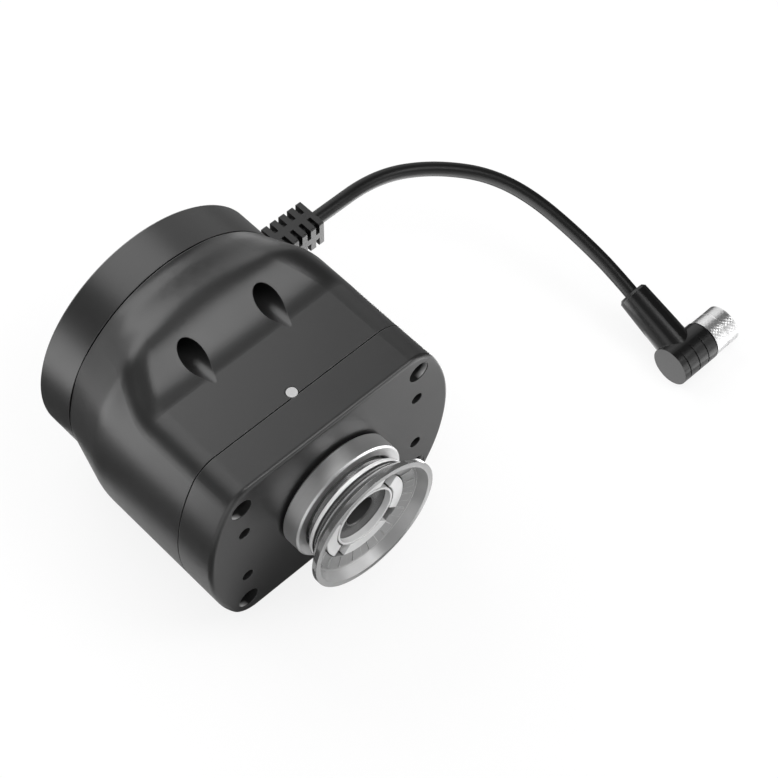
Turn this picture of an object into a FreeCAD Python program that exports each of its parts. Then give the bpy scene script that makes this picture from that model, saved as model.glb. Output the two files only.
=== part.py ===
import FreeCAD, Part
import os
from math import atan2, cos, hypot, pi, sin, sqrt, tan

# Electric suction gripper for a small robot arm, in millimetres.
# The origin is the centre of the flange's mounting face and +Z is up. The cup looks along -Y, so a
# depth is a distance in front of the mounting face, and y = -depth.

# Rear flange
flange_radius = 34.0
flange_depth = 11.2
flange_plate = 5.0
flange_rim = 8.0
flange_edge = 0.5
centring_radius = 15.75
centring_height = 3.5
robot_bolt_circle = 50.0
robot_bolt_hole = 3.3
robot_bolt_head = 5.5
dowel_radius = 3.0
dowel_depth = 4.2

# Main housing
flange_seal = 0.4
seal_inset = 1.0
housing_length = 43.6
wall = 2.5
flare_end_depth = 27.6
flare_round = 4.0
ridge_depth = 22.5
ridge_drop = 0.8
ridge_corner = 12.0
ramp_end_depth = 38.8
front_half_height = 26.4
front_half_width = 37.7
side_arc = 45.0
front_corner = 8.0

# Socket screws and the bores that give a key access to them
screw_radius = 1.5
screw_head_radius = 2.75
screw_head_height = 3.0
screw_socket = 2.5
screw_socket_depth = 1.6
screw_clearance = 0.2
thread_fit = 0.03
access_x = 11.5
access_radius = 3.05
access_wall = 2.1
access_seat = 6.0
access_thread = 6.5
access_rim = 5.5
access_tip = 1.4

# Front cover
cover_seal = 0.3
cover_depth = 11.3
cover_face = 3.5
cover_edge = 1.1
cover_screw_x = 27.3
cover_screw_z = 20.1
cover_screw_seat = 6.5
cover_pocket = 2.95
cover_screw_length = 12.0
post_wall = 2.4
post_length = 8.2
accessory_x = 27.0
accessory_z = 9.5
accessory_radius = 1.65
accessory_depth = 7.0
accessory_wall = 1.7

# Status light
light_radius = 1.4
light_fit = 0.2
light_x = -0.7
light_setback = 1.2
light_flange = 2.4
light_flange_height = 1.0
led_height = 3.8

# Suction cup and its collar
collar_radius = 16.4
collar_gap = 0.5
collar_length = 5.3
collar_rim = 2.6
collar_bore = 13.3
collar_floor = 2.2
collar_chamfer = 0.4
nipple_radius = 4.8
nipple_length = 4.8
nipple_bore = 2.6
spigot_radius = 6.5
spigot_height = 4.0
cup_fit = 0.05
cup_neck_radius = 12.5
cup_neck_height = 2.7
cup_neck_collar = 8.6
cup_clamp_radius = 9.6
cup_clamp = 1.1
bellows_wall = 1.0
bellows_height = 4.2
bellows_crest = 14.8
bellows_crest_rise = 2.9
bellows_root = 13.6
bellows_root_rise = 3.7
bellows_flat = 0.25
bellows_mouth = 14.4
lip_radius = 18.6
lip_height = 4.9
lip_edge = 1.3
lip_land = 1.5
lip_root = 12.4
lip_root_height = 1.2
lip_band_radius = 15.85
lip_band_height = 1.0
lip_step = 0.15
retainer_radius = 12.0
retainer_floor = 1.6
retainer_petal = 1.8
retainer_notch = 4.2
retainer_groove = 0.45
retainer_well = 8.0
retainer_wall = 0.5
retainer_stem = 4.9
retainer_stem_length = 4.6
retainer_bore = 4.0
retainer_bevel = 0.3
filter_height = 1.0

# Inner frame that carries the pump, the valve and the board
tray_thickness = 1.5
tray_inset = 4.0
tray_floor_gap = 2.1
frame_gap = 0.35
frame_lip = 2.0
frame_lip_height = 4.8
frame_lip_half_width = 18.0
frame_screw_x = 12.0
frame_screw_rise = 2.1
frame_screw_tip = 1.7
frame_screw_gap = 0.55
frame_rear_top = 17.0
saddle_places = (-18.0, -5.0)
saddle_reach = 8.5
saddle_rise = 4.4
small_screw_radius = 1.0
small_head_radius = 1.9
small_head_height = 1.3

# Pump motor, lying across the housing
motor_radius = 12.2
motor_length = 30.0
motor_wall = 1.0
motor_cap = 2.0
motor_rest = 0.8
motor_face_x = 0.0
pump_depth = 34.5
shaft_radius = 1.0
running_fit = 0.04
bush_radius = 2.6
bush_length = 2.4
magnet_thickness = 2.0
magnet_length = 18.0
magnet_angle = 130.0
armature_radius = 8.6
armature_length = 15.0
armature_slot = 1.0
armature_slot_floor = 3.9
commutator_radius = 2.6
commutator_length = 2.5

# Diaphragm pump head on the motor's face
head_half = 11.4
crank_gap = 0.4
crank_throw = 1.0
crank_hub = 4.2
crank_hub_length = 5.0
crank_pin = 1.6
rod_width = 5.2
rod_eye = 4.0
rod_stem = 3.0
rod_disc = 5.5
rod_disc_height = 1.2
crank_space = 8.5
crank_wall = 2.0
stroke_bore = 7.5
deck_height = 11.1
diaphragm_thickness = 1.0
diaphragm_gap = 0.1
washer_radius = 5.2
washer_height = 1.1
chamber_radius = 7.6
chamber_height = 2.6
valve_plate_height = 5.0
port_offset = 5.4
port_radius = 1.0
flap_radius = 2.4
flap_height = 0.4
flap_pocket = 3.4
flap_pocket_height = 3.6
pump_head_height = 6.0
pump_screw_offset = 9.2
pump_screw_grip = 7.8
barb_radius = 2.0
barb_length = 4.0

# Strap over the motor
strap_start_x = -22.0
strap_end_x = -8.0
strap_leg = 4.0
strap_top = 1.6
strap_fit = 0.05
strap_screw_inset = 3.0

# Vent valve on the strap
valve_half = 6.5
valve_yoke_length = 15.0
valve_end_x = -0.5
valve_yoke_plate = 1.2
valve_body_length = 9.0
valve_axis_height = 7.1
valve_body_height = 13.0
coil_radius = 5.6
coil_core = 2.2
plunger_radius = 2.1
plunger_travel = 1.2
core_length = 3.9
spring_solid = 1.6
spring_radius = 1.45
spring_wire = 0.2
spring_turns = 4.0
valve_chamber = 3.2
valve_seat_wall = 1.3
valve_seat_hole = 0.8
plunger_tip = 1.6
plunger_tip_height = 0.6
valve_tube_x = -19.5

# Control board behind the pump
board_side_inset = 2.0
board_top_inset = 8.0
board_thickness = 1.6
board_spacer = 1.6
board_spacer_radius = 2.6
board_screw_inset_x = 7.0
board_screw_inset_z = 6.0
header_x = 11.0
header_width = 8.0
header_half_height = 5.0
lead_plug_rise = 3.05
lead_plug_drop = 2.25
lead_plug_half = 2.7
board_capacitor = (-5.0, -9.0)
board_capacitor_radius = 3.0
board_capacitor_gap = 3.2

# Vacuum manifold behind the cup
manifold_radius = 9.0
manifold_height = 6.3
manifold_chamber = 3.5
manifold_chamber_height = 3.6
manifold_socket = 1.5
manifold_tube_depth = 3.5
manifold_screw_z = 6.9
manifold_screw_grip = 1.7
manifold_flat = 8.0
sensor_half = 2.4
sensor_height = 3.4
tube_wall = 0.9

# Cable, strain relief and plug
cable_radius = 1.95
cable_depth = 5.15
relief_width = 9.1
relief_height = 8.3
relief_length = 15.55
relief_corner = 0.45
relief_slot = 1.2
relief_pitch = 2.9
relief_tooth = 1.5
relief_spine = 1.05
relief_core = 2.7
relief_slots = 5
relief_neck = 3.0
relief_fit = 0.1
relief_lock = 1.6
relief_lock_half = 4.2
cable_exit = 8.6
cable_entry = 8.0
plug_x = 105.6
plug_depth = 86.5
plug_radius = 5.5
plug_rear = 5.5
plug_front = 6.75
plug_arm = 21.2
plug_arm_root = 4.9
plug_arm_tip = 4.15
plug_arm_chamfer = 0.7
plug_roll = 20.7
plug_grooves = 3
plug_groove_pitch = 3.4
plug_groove_width = 0.35
plug_groove_cut = 0.3
plug_groove_reach = 1.4
nut_radius = 5.3
nut_length = 8.1
nut_gap = 0.3
nut_lip = 1.2
nut_thread = 4.05
nut_groove = 0.35
insert_neck = 3.4
insert_radius = 2.9
insert_collar = 3.8
insert_collar_length = 0.7
insert_length = 6.6
contact_radius = 0.5
contact_circle = 1.6
contact_count = 4
contact_depth = 4.0

# Chips on the board, each with its place in x and z, its half sizes and its height
board_chips = [
    (-6.0, 3.0, 3.5, 3.5, 1.0),
    (-15.0, 2.0, 2.5, 3.0, 1.6),
    (3.0, -11.0, 2.6, 2.0, 1.2),
    (3.0, 11.0, 3.0, 3.0, 2.4),
]

# The cable's bends between the strain relief and the plug's arm, chosen by hand: it droops to the
# plug, which lies on the same surface as the flange's rim.
cable_bends = [
    (67.3, -4.7, -0.8),
    (76.0, -6.0, -1.9),
    (83.8, -9.5, -3.2),
    (90.5, -14.2, -4.7),
    (96.2, -19.8, -6.3),
    (100.3, -26.6, -8.2),
    (102.8, -34.5, -10.4),
    (104.1, -42.9, -12.8),
    (105.0, -51.1, -15.4),
]

flange_recess_radius = flange_radius - flange_rim
ridge_half_height = flange_radius - ridge_drop
housing_start = flange_depth + flange_seal
housing_end = housing_start + housing_length
cover_start = housing_end + cover_seal
front_face = cover_start + cover_depth
cover_inner = front_face - cover_face
collar_start = front_face + collar_gap
collar_end = collar_start + collar_length
collar_floor_depth = collar_start + collar_floor
spigot_end = collar_floor_depth + spigot_height
neck_end = collar_floor_depth + cup_neck_height
clamp_end = spigot_end + cup_clamp
bellows_end = neck_end + bellows_height
lip_end = bellows_end + lip_height

# The access bore's axis runs from the flange's screw to the tip of the teardrop on the flat top.
access_seat_depth = housing_start + access_seat
access_flange_z = sqrt((flange_radius - access_rim) ** 2 - access_x ** 2)
access_tip_depth = ramp_end_depth + access_tip
access_tip_z = front_half_height + access_radius
access_reach = access_tip_depth - housing_start
access_lean = atan2(access_tip_z - access_flange_z, access_reach)

# The tray clears both the access bosses and the floor of the flat front.
tray_bottom = -min(access_flange_z - access_radius - access_wall, front_half_height - wall - tray_floor_gap)
tray_top = tray_bottom + tray_thickness
tray_half_width = flange_recess_radius - tray_inset
strap_reach = motor_radius + strap_fit + strap_leg
frame_rear_depth = pump_depth - strap_reach - frame_gap - tray_thickness
frame_front_depth = pump_depth + strap_reach + frame_screw_gap + small_head_height
frame_screw_z = tray_top + frame_screw_rise

motor_z = tray_top + motor_rest + motor_radius
motor_rear_x = motor_face_x - motor_length
head_x = motor_face_x + head_half
deck_z = motor_z + deck_height
plate_z = deck_z + diaphragm_thickness
head_z = plate_z + valve_plate_height
head_top_z = head_z + pump_head_height
port_z = head_z + flap_pocket_height - port_radius
inlet_x = head_x + port_offset
shelf_z = motor_z + motor_radius + strap_top
valve_z = shelf_z + valve_axis_height
yoke_start_x = valve_end_x - valve_yoke_length
valve_start_x = yoke_start_x - valve_body_length
spring_length = spring_solid + plunger_travel
manifold_start = cover_inner - manifold_height
manifold_tube = cover_inner - manifold_tube_depth
board_half_width = flange_recess_radius - board_side_inset
board_half_height = flange_recess_radius - board_top_inset
board_screw_x = board_half_width - board_screw_inset_x
board_screw_z = board_half_height - board_screw_inset_z
board_front = frame_rear_depth - board_spacer
board_rear = board_front - board_thickness
header_front = cable_depth + lead_plug_rise
relief_end_x = flange_radius + relief_length
plug_z = plug_radius - flange_radius

UP = FreeCAD.Vector(0, 0, 1)
ACROSS = FreeCAD.Vector(1, 0, 0)
FORWARD = FreeCAD.Vector(0, -1, 0)


def at(x, depth, z):
    """A point given by its depth in front of the mounting face."""
    return FreeCAD.Vector(x, -depth, z)


def drum(radius, start, end, x=0.0, z=0.0):
    """A cylinder along the tool axis between two depths."""
    return Part.makeCylinder(radius, end - start, at(x, start, z), FORWARD)


def bar(radius, start_x, end_x, depth, z):
    """A cylinder across the housing."""
    return Part.makeCylinder(radius, end_x - start_x, at(start_x, depth, z), ACROSS)


def post(radius, bottom, top, x, depth):
    """An upright cylinder."""
    return Part.makeCylinder(radius, top - bottom, at(x, depth, bottom), UP)


def block(x_range, depth_range, z_range):
    """A box between two limits on each axis."""
    corner = at(x_range[0], depth_range[1], z_range[0])
    width = x_range[1] - x_range[0]
    length = depth_range[1] - depth_range[0]
    return Part.makeBox(width, length, z_range[1] - z_range[0], corner)


def turned(profile):
    """A solid turned about the tool axis from (radius, depth) corners."""
    corners = [at(radius, depth, 0) for radius, depth in profile]
    face = Part.Face(Part.makePolygon(corners + corners[:1]))
    return face.revolve(FreeCAD.Vector(0, 0, 0), FreeCAD.Vector(0, 1, 0), 360)


def joined(first, *others):
    """Several solids fused into one clean solid."""
    return first.fuse(list(others)).removeSplitter()


def bored(solid, *tools):
    """A solid with several tools cut out of it."""
    return solid.cut(list(tools))


def group(*solids):
    """Separate solids that share one node."""
    return Part.makeCompound(list(solids))


def mirrored_x(solid):
    return solid.mirror(FreeCAD.Vector(0, 0, 0), ACROSS)


def mirrored_z(solid):
    return solid.mirror(FreeCAD.Vector(0, 0, 0), UP)


def four_ways(solid):
    """A solid and its mirror images left to right and top to bottom."""
    pair = [solid, mirrored_x(solid)]
    return pair + [mirrored_z(one) for one in pair]


def ease(value, start, end):
    """A smooth step from 0 at start to 1 at end."""
    share = min(max((value - start) / (end - start), 0.0), 1.0)
    return share * share * (3.0 - 2.0 * share)


def between(first, second, share):
    return first + (second - first) * share


# Housing section: flat top and bottom, bowed sides and round corners, drawn towards a circle by a
# share that falls from 1 at the flange to 0 at the ridge.
def section_arcs(half_height, half_width, side_radius, corner):
    """The eight stretches of a section, each as a function of 0 to 1 giving x and z."""
    side_x = half_width - side_radius
    corner_z = half_height - corner
    corner_x = side_x + sqrt((side_radius - corner) ** 2 - corner_z ** 2)
    turn = atan2(corner_z, corner_x - side_x)

    def arc(centre_x, centre_z, radius, first, last):
        def point(share):
            angle = between(first, last, share)
            return centre_x + radius * cos(angle), centre_z + radius * sin(angle)
        return point

    def flat(x, z):
        def point(share):
            return between(-x, x, share), z
        return point

    half_turn = pi / 2
    return [
        flat(corner_x, half_height),
        arc(corner_x, corner_z, corner, half_turn, turn),
        arc(side_x, 0, side_radius, turn, -turn),
        arc(corner_x, -corner_z, corner, -turn, -half_turn),
        flat(-corner_x, -half_height),
        arc(-corner_x, -corner_z, corner, -half_turn, turn - pi),
        arc(-side_x, 0, side_radius, turn - pi, -turn - pi),
        arc(-corner_x, corner_z, corner, -turn - pi, half_turn - 2 * pi),
    ]


def section_wire(depth, inset, arcs, roundness):
    """One section as a closed wire of eight smooth curves."""
    samples = [0.0, 0.25, 0.5, 0.75, 1.0]
    step = 0.001

    def placed(point):
        x, z = point
        reach = hypot(x, z)
        radius = between(reach, flange_radius - inset, roundness)
        return at(x * radius / reach, depth, z * radius / reach)

    edges = []
    for arc in arcs:
        points = [placed(arc(share)) for share in samples]
        start = (placed(arc(step)) - points[0]) / step
        end = (points[-1] - placed(arc(1.0 - step))) / step
        curve = Part.BSplineCurve()
        curve.interpolate(Points=points, Parameters=samples, InitialTangent=start, FinalTangent=end)
        edges.append(curve.toShape())
    return Part.Wire(edges)


def flare(depth):
    """How far the round flange has opened into the front section: straight, then rounded off."""
    slope = 1.0 / (flare_end_depth - housing_start - flare_round / 2)
    if depth < flare_end_depth - flare_round:
        return slope * (depth - housing_start)
    left = max(flare_end_depth - depth, 0.0)
    return 1.0 - slope * left * left / (2 * flare_round)


def body_section(depth, inset):
    """The housing's section at a depth, moved in by an inset."""
    ramp = ease(depth, ridge_depth, ramp_end_depth)
    half_height = between(ridge_half_height, front_half_height, ramp) - inset
    corner = between(ridge_corner, front_corner, ramp) - inset
    arcs = section_arcs(half_height, front_half_width - inset, side_arc - inset, corner)
    return section_wire(depth, inset, arcs, 1.0 - flare(depth))


def front_prism(start, end, inset):
    """A straight stretch of the flat-topped front section."""
    arcs = section_arcs(front_half_height - inset, front_half_width - inset,
                        side_arc - inset, front_corner - inset)
    face = Part.Face(section_wire(start, inset, arcs, 0.0))
    return face.extrude(FORWARD * (end - start))


def body_solid(inset):
    """The housing's outside, or its inside when inset, as a loft and a straight front."""
    bend = flare_end_depth - flare_round
    stations = [between(housing_start, bend, i / 4) for i in range(4)]
    stations += [between(bend, flare_end_depth, i / 3) for i in range(3)]
    stations += [between(flare_end_depth, ramp_end_depth, i / 5) for i in range(6)]
    wires = [body_section(depth, inset) for depth in stations]
    loft = Part.makeLoft(wires, True, False, False, 3)
    return joined(loft, front_prism(ramp_end_depth, housing_end, inset))


# Socket screw, head up along a direction, with a hexagon socket.
def socket_screw(seat, direction, length, radius, head_radius, head_height):
    shank = Part.makeCylinder(radius, length, seat, direction * -1)
    head = Part.makeCylinder(head_radius, head_height, seat, direction)
    reach = screw_socket / sqrt(3) * radius / screw_radius
    depth = screw_socket_depth * head_height / screw_head_height
    corners = [FreeCAD.Vector(reach * cos(i * pi / 3), reach * sin(i * pi / 3), 0) for i in range(6)]
    socket = Part.Face(Part.makePolygon(corners + corners[:1])).extrude(UP * depth)
    placement = FreeCAD.Placement(seat + direction * (head_height - depth),
                                  FreeCAD.Rotation(UP, direction))
    socket.Placement = placement
    return bored(joined(shank, head), socket)


# Access bore: it leans so that a key clears the flat top of the body.
access_axis = at(0, cos(access_lean), sin(access_lean))


def access_point(depth):
    """The point of the bore's axis at a depth."""
    share = (depth - housing_start) / access_reach
    return at(access_x, depth, between(access_flange_z, access_tip_z, share))


def access_tool(radius, start, end):
    """A cylinder along the bore's axis between two depths."""
    length = (end - start) / cos(access_lean)
    return Part.makeCylinder(radius, length, access_point(start), access_axis)


# Sweep along straight runs joined by tangent arcs as large as the runs allow.
def route_path(points):
    """The path's wire, the arc radii and the length."""
    ends = [FreeCAD.Vector(*point) for point in points]
    edges = []
    radii = []
    last = ends[0]
    for before, corner, after in zip(ends, ends[1:], ends[2:]):
        inward = (corner - before).normalize()
        outward = (after - corner).normalize()
        half_turn = inward.getAngle(outward) / 2
        trim = 0.45 * min((corner - before).Length, (after - corner).Length)
        radii.append(trim / tan(half_turn))
        start = corner - inward * trim
        end = corner + outward * trim
        toward = (outward - inward).normalize()
        middle = corner + toward * (radii[-1] / cos(half_turn) - radii[-1])
        edges.append(Part.LineSegment(last, start).toShape())
        edges.append(Part.Arc(start, middle, end).toShape())
        last = end
    edges.append(Part.LineSegment(last, ends[-1]).toShape())
    path = Part.Wire(edges)
    return path, radii, path.Length


def swept(points, radius):
    """A round bar along a route."""
    path, radii, length = route_path(points)
    start = FreeCAD.Vector(*points[0])
    direction = (FreeCAD.Vector(*points[1]) - start).normalize()
    circle = Part.Wire([Part.makeCircle(radius, start, direction)])
    return path.makePipeShell([circle], True, False)


def hose(points):
    """A soft tube pushed over two barbs."""
    return bored(swept(points, barb_radius + tube_wall), swept(points, barb_radius))


# Rear flange: a turned aluminium cup. Its plate takes the four robot screws, whose heads lie in the
# recess, a boss centres it on the wrist, and the cable leaves through a window in its rim.
def base_flange():
    body = drum(flange_radius, 0, flange_depth)
    rims = [edge for edge in body.Edges if edge.Closed]
    body = body.makeChamfer(flange_edge, [edge for edge in rims if edge.CenterOfMass.y > -flange_edge])
    boss = drum(centring_radius, -centring_height, 0)
    boss_rim = [edge for edge in boss.Edges if edge.Closed and edge.CenterOfMass.y > centring_height / 2]
    boss = boss.makeChamfer(flange_edge, boss_rim)
    cuts = [drum(flange_recess_radius, flange_plate, flange_depth)]
    bolt_offset = robot_bolt_circle / 2 * cos(pi / 4)
    cuts += four_ways(drum(robot_bolt_hole, -centring_height, flange_depth, bolt_offset, bolt_offset))
    cuts += four_ways(drum(robot_bolt_head, flange_plate, flange_depth, bolt_offset, bolt_offset))
    cuts.append(drum(dowel_radius, 0, dowel_depth, -robot_bolt_circle / 2))
    window = relief_neck + relief_fit
    cuts.append(block((header_x - relief_fit, flange_radius + 1),
                      (cable_depth - window, cable_depth + window), (-window, window)))
    thread = access_tool(screw_radius + thread_fit, flange_depth - access_thread, flange_depth + 1)
    cuts += four_ways(thread)
    return bored(joined(body, boss), *cuts)


def flange_gasket():
    seal = drum(flange_radius - seal_inset, flange_depth, housing_start)
    seal = seal.cut(drum(flange_recess_radius, flange_depth, housing_start))
    hole = access_tool(screw_radius + screw_clearance, flange_depth - 1, housing_start + 1)
    return bored(seal, *four_ways(hole))


# Main housing: one shell that blends from the round flange to the flat-topped front, with four bosses
# along the access bores, four posts for the cover's screws and half of the light's hole.
def main_housing():
    outside = body_solid(0.0)
    inside = body_solid(wall)
    shell = outside.cut(inside)
    boss = access_tool(access_radius + access_wall, housing_start - wall, ramp_end_depth)
    column = drum(screw_radius + post_wall, housing_end - post_length, housing_end,
                  cover_screw_x, cover_screw_z)
    solids = [one.common(outside) for one in four_ways(boss) + four_ways(column)]
    shell = joined(shell, *solids)
    cuts = four_ways(access_tool(access_radius, access_seat_depth, front_face + wall))
    cuts += four_ways(access_tool(screw_radius + screw_clearance, housing_start - wall, access_seat_depth))
    tapped = drum(screw_radius + thread_fit, housing_end - post_length, housing_end,
                  cover_screw_x, cover_screw_z)
    cuts += four_ways(tapped)
    cuts.append(light_hole())
    return bored(shell, *cuts)


def housing_screws():
    seat = access_point(access_seat_depth)
    length = (access_seat_depth - flange_depth + access_thread - 1.0) / cos(access_lean)
    screw = socket_screw(seat, access_axis, length, screw_radius, screw_head_radius, screw_head_height)
    return group(*four_ways(screw))


# Front cover: a shallow lid with pockets for its four screws, four tapped holes for accessories and
# the port that the cup's collar screws into.
def cover_gasket():
    seal = front_prism(housing_end, cover_start, seal_inset)
    seal = seal.cut(front_prism(housing_end, cover_start, wall))
    return seal.cut(light_hole())


def front_cover():
    outside = front_prism(cover_start, front_face, 0.0)
    rim = [edge for edge in outside.Edges if all(abs(v.Y + front_face) < 0.01 for v in edge.Vertexes)]
    outside = outside.makeFillet(cover_edge, rim)
    shell = outside.cut(front_prism(cover_start, cover_inner, wall))
    column = drum(cover_pocket + access_wall, cover_start, cover_inner + 1, cover_screw_x, cover_screw_z)
    boss = drum(accessory_radius + accessory_wall, front_face - accessory_depth - accessory_wall,
                cover_inner + 1, accessory_x, accessory_z)
    stands = [drum(small_screw_radius + accessory_wall, frame_front_depth + frame_lip, cover_inner + 1,
                   side * frame_screw_x, frame_screw_z) for side in (-1, 1)]
    solids = [one.common(outside) for one in four_ways(column) + four_ways(boss)]
    shell = joined(shell, *solids, *stands)
    seat = front_face - cover_screw_seat
    cuts = four_ways(drum(cover_pocket, seat, front_face + 1, cover_screw_x, cover_screw_z))
    cuts += four_ways(drum(screw_radius + screw_clearance, cover_start - 1, seat,
                           cover_screw_x, cover_screw_z))
    cuts += four_ways(drum(accessory_radius, front_face - accessory_depth, front_face + 1,
                           accessory_x, accessory_z))
    for side in (-1, 1):
        cuts.append(drum(small_screw_radius + thread_fit, frame_front_depth, cover_inner,
                         side * frame_screw_x, frame_screw_z))
        cuts.append(drum(small_screw_radius + thread_fit, cover_inner - 1, cover_inner + manifold_screw_grip,
                         0, side * manifold_screw_z))
    cuts.append(drum(nipple_radius + cup_fit, cover_inner - 1, front_face + 1))
    cuts.append(light_hole())
    return bored(shell, *cuts)


def cover_screws():
    seat = at(cover_screw_x, front_face - cover_screw_seat, cover_screw_z)
    screw = socket_screw(seat, FORWARD, cover_screw_length, screw_radius,
                         screw_head_radius, screw_head_height)
    return group(*four_ways(screw))


# Status light: a clear pipe that straddles the seam on the flat top, with its diode under it.
light_depth = (housing_end + cover_start) / 2 - light_setback
light_flange_top = front_half_height - wall - light_fit


def light_hole():
    return post(light_radius + light_fit, light_flange_top, front_half_height + 1, light_x, light_depth)


def status_light_pipe():
    stem = post(light_radius, light_flange_top - light_flange_height, front_half_height, light_x, light_depth)
    flange = post(light_flange, light_flange_top - light_flange_height, light_flange_top, light_x, light_depth)
    return joined(stem, flange)


def status_led():
    top = light_flange_top - light_flange_height
    return post(light_radius, top - led_height, top, light_x, light_depth)


# Suction cup: a turned collar screws into the cover over a sealing washer. The silicone cup stands in
# the collar on its spigot and a hollow screw clamps it. The cup is one moulding of three stretches.
def collar_seal():
    outer = collar_radius - seal_inset
    return drum(outer, front_face, collar_start).cut(drum(nipple_radius, front_face, collar_start))


def cup_collar():
    rim = collar_radius - collar_rim
    nipple_end = front_face - nipple_length
    return turned([
        (nipple_bore, nipple_end),
        (nipple_radius, nipple_end),
        (nipple_radius, collar_start),
        (collar_radius - collar_chamfer, collar_start),
        (collar_radius, collar_start + collar_chamfer),
        (collar_radius, collar_end - collar_chamfer),
        (collar_radius - collar_chamfer, collar_end),
        (rim, collar_end),
        (collar_bore, collar_floor_depth + collar_chamfer),
        (collar_bore, collar_floor_depth),
        (spigot_radius, collar_floor_depth),
        (spigot_radius, spigot_end),
        (retainer_stem, spigot_end),
        (retainer_stem, clamp_end - retainer_stem_length - cup_clamp),
        (nipple_bore, clamp_end - retainer_stem_length - cup_clamp),
    ])


def filter_disc():
    return drum(nipple_bore, front_face - filter_height, front_face)


def cup_neck():
    return turned([
        (spigot_radius + cup_fit, collar_floor_depth),
        (cup_neck_radius, collar_floor_depth),
        (cup_neck_radius, neck_end),
        (cup_neck_collar, neck_end),
        (cup_neck_collar, spigot_end),
        (cup_clamp_radius, spigot_end),
        (cup_clamp_radius, clamp_end),
        (retainer_stem + cup_fit, clamp_end),
        (retainer_stem + cup_fit, spigot_end),
        (spigot_radius + cup_fit, spigot_end),
    ])


def cup_bellows():
    crest = neck_end + bellows_crest_rise
    root = neck_end + bellows_root_rise
    outer = [
        (cup_neck_radius, neck_end),
        (bellows_crest, crest - bellows_flat),
        (bellows_crest, crest + bellows_flat),
        (bellows_root, root - bellows_flat),
        (bellows_root, root + bellows_flat),
        (bellows_mouth, bellows_end - cup_fit),
    ]
    inner = [(radius - bellows_wall, depth) for radius, depth in reversed(outer)]
    return turned(outer + inner)


def cup_lip():
    root_end = bellows_end + lip_root_height
    band_end = root_end + lip_band_height
    return turned([
        (lip_root, bellows_end),
        (bellows_mouth, bellows_end),
        (lip_radius, lip_end - lip_edge),
        (lip_radius, lip_end),
        (lip_radius - lip_land, lip_end),
        (lip_band_radius + lip_step, band_end),
        (lip_band_radius, band_end),
        (lip_root, root_end),
    ])


def cup_retainer():
    floor = clamp_end + retainer_floor
    top = floor + retainer_petal
    ring = retainer_well + retainer_wall
    petals = ring + retainer_groove
    body = turned([
        (retainer_bore, clamp_end - retainer_stem_length),
        (retainer_stem, clamp_end - retainer_stem_length),
        (retainer_stem, clamp_end),
        (retainer_radius, clamp_end),
        (retainer_radius, top),
        (petals, top),
        (petals, floor),
        (ring, floor),
        (ring, top),
        (retainer_well, top),
        (retainer_well, floor),
        (retainer_bore + retainer_bevel, floor),
        (retainer_bore, floor - retainer_bevel),
    ])
    half = retainer_notch / 2
    notch = block((ring, retainer_radius + retainer_wall), (floor, top), (-half, half))
    cuts = []
    for quarter in range(4):
        cut = notch.copy()
        cut.rotate(FreeCAD.Vector(0, 0, 0), FORWARD, 45 + 90 * quarter)
        cuts.append(cut)
    return bored(body, *cuts)


# Inner frame: a moulded tray screwed to the back of the cover, with two saddles under the motor and a
# rear wall that carries the board.
def inner_frame():
    tray = block((-tray_half_width, tray_half_width), (frame_rear_depth, frame_front_depth + frame_lip),
                 (tray_bottom, tray_top))
    rear = block((-tray_half_width, tray_half_width), (frame_rear_depth, frame_rear_depth + tray_thickness),
                 (tray_bottom, frame_rear_top))
    lip = block((-frame_lip_half_width, frame_lip_half_width),
                (frame_front_depth, frame_front_depth + frame_lip),
                (tray_bottom, tray_top + frame_lip_height))
    saddles = []
    for x in saddle_places:
        saddle = block((x - tray_thickness, x), (pump_depth - saddle_reach, pump_depth + saddle_reach),
                       (tray_top, tray_top + saddle_rise))
        saddles.append(saddle.cut(bar(motor_radius, x - tray_thickness, x, pump_depth, motor_z)))
    body = joined(tray, rear, lip, *saddles)
    hole = small_screw_radius + screw_clearance
    cuts = []
    for side in (-1, 1):
        cuts.append(drum(hole, frame_front_depth - 1, frame_front_depth + frame_lip + 1,
                         side * frame_screw_x, frame_screw_z))
        cuts.append(post(hole, tray_bottom - 1, tray_top + 1, strap_screw_x(),
                         strap_screw_depth(side)))
    cuts += four_ways(drum(small_screw_radius + thread_fit, frame_rear_depth - 1,
                           frame_rear_depth + tray_thickness + 1, board_screw_x, board_screw_z))
    return bored(body, *cuts)


def frame_screws():
    screws = []
    for side in (-1, 1):
        seat = at(side * frame_screw_x, frame_front_depth, frame_screw_z)
        screws.append(small_screw(seat, FORWARD * -1, cover_inner - frame_front_depth - frame_screw_tip))
    return group(*screws)


def small_screw(seat, direction, length):
    return socket_screw(seat, direction, length, small_screw_radius, small_head_radius, small_head_height)


# Pump motor: a brushed can motor with two magnets, a three-pole armature and plain bushes.
def motor_can():
    body = bar(motor_radius, motor_rear_x + motor_cap, motor_face_x, pump_depth, motor_z)
    hollow = bar(motor_radius - motor_wall, motor_rear_x, motor_face_x - motor_wall, pump_depth, motor_z)
    return bored(body, hollow, bar(bush_radius, motor_rear_x, motor_face_x, pump_depth, motor_z))


def motor_end_cap():
    disc = bar(motor_radius, motor_rear_x, motor_rear_x + motor_cap, pump_depth, motor_z)
    spigot = bar(motor_radius - motor_wall, motor_rear_x, motor_rear_x + 2 * motor_cap, pump_depth, motor_z)
    hollow = bar(motor_radius - 3 * motor_wall, motor_rear_x + motor_cap, motor_rear_x + 2 * motor_cap,
                 pump_depth, motor_z)
    tunnel = bar(bush_radius, motor_rear_x, motor_rear_x + motor_cap, pump_depth, motor_z)
    return bored(joined(disc, spigot), hollow, tunnel)


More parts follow.
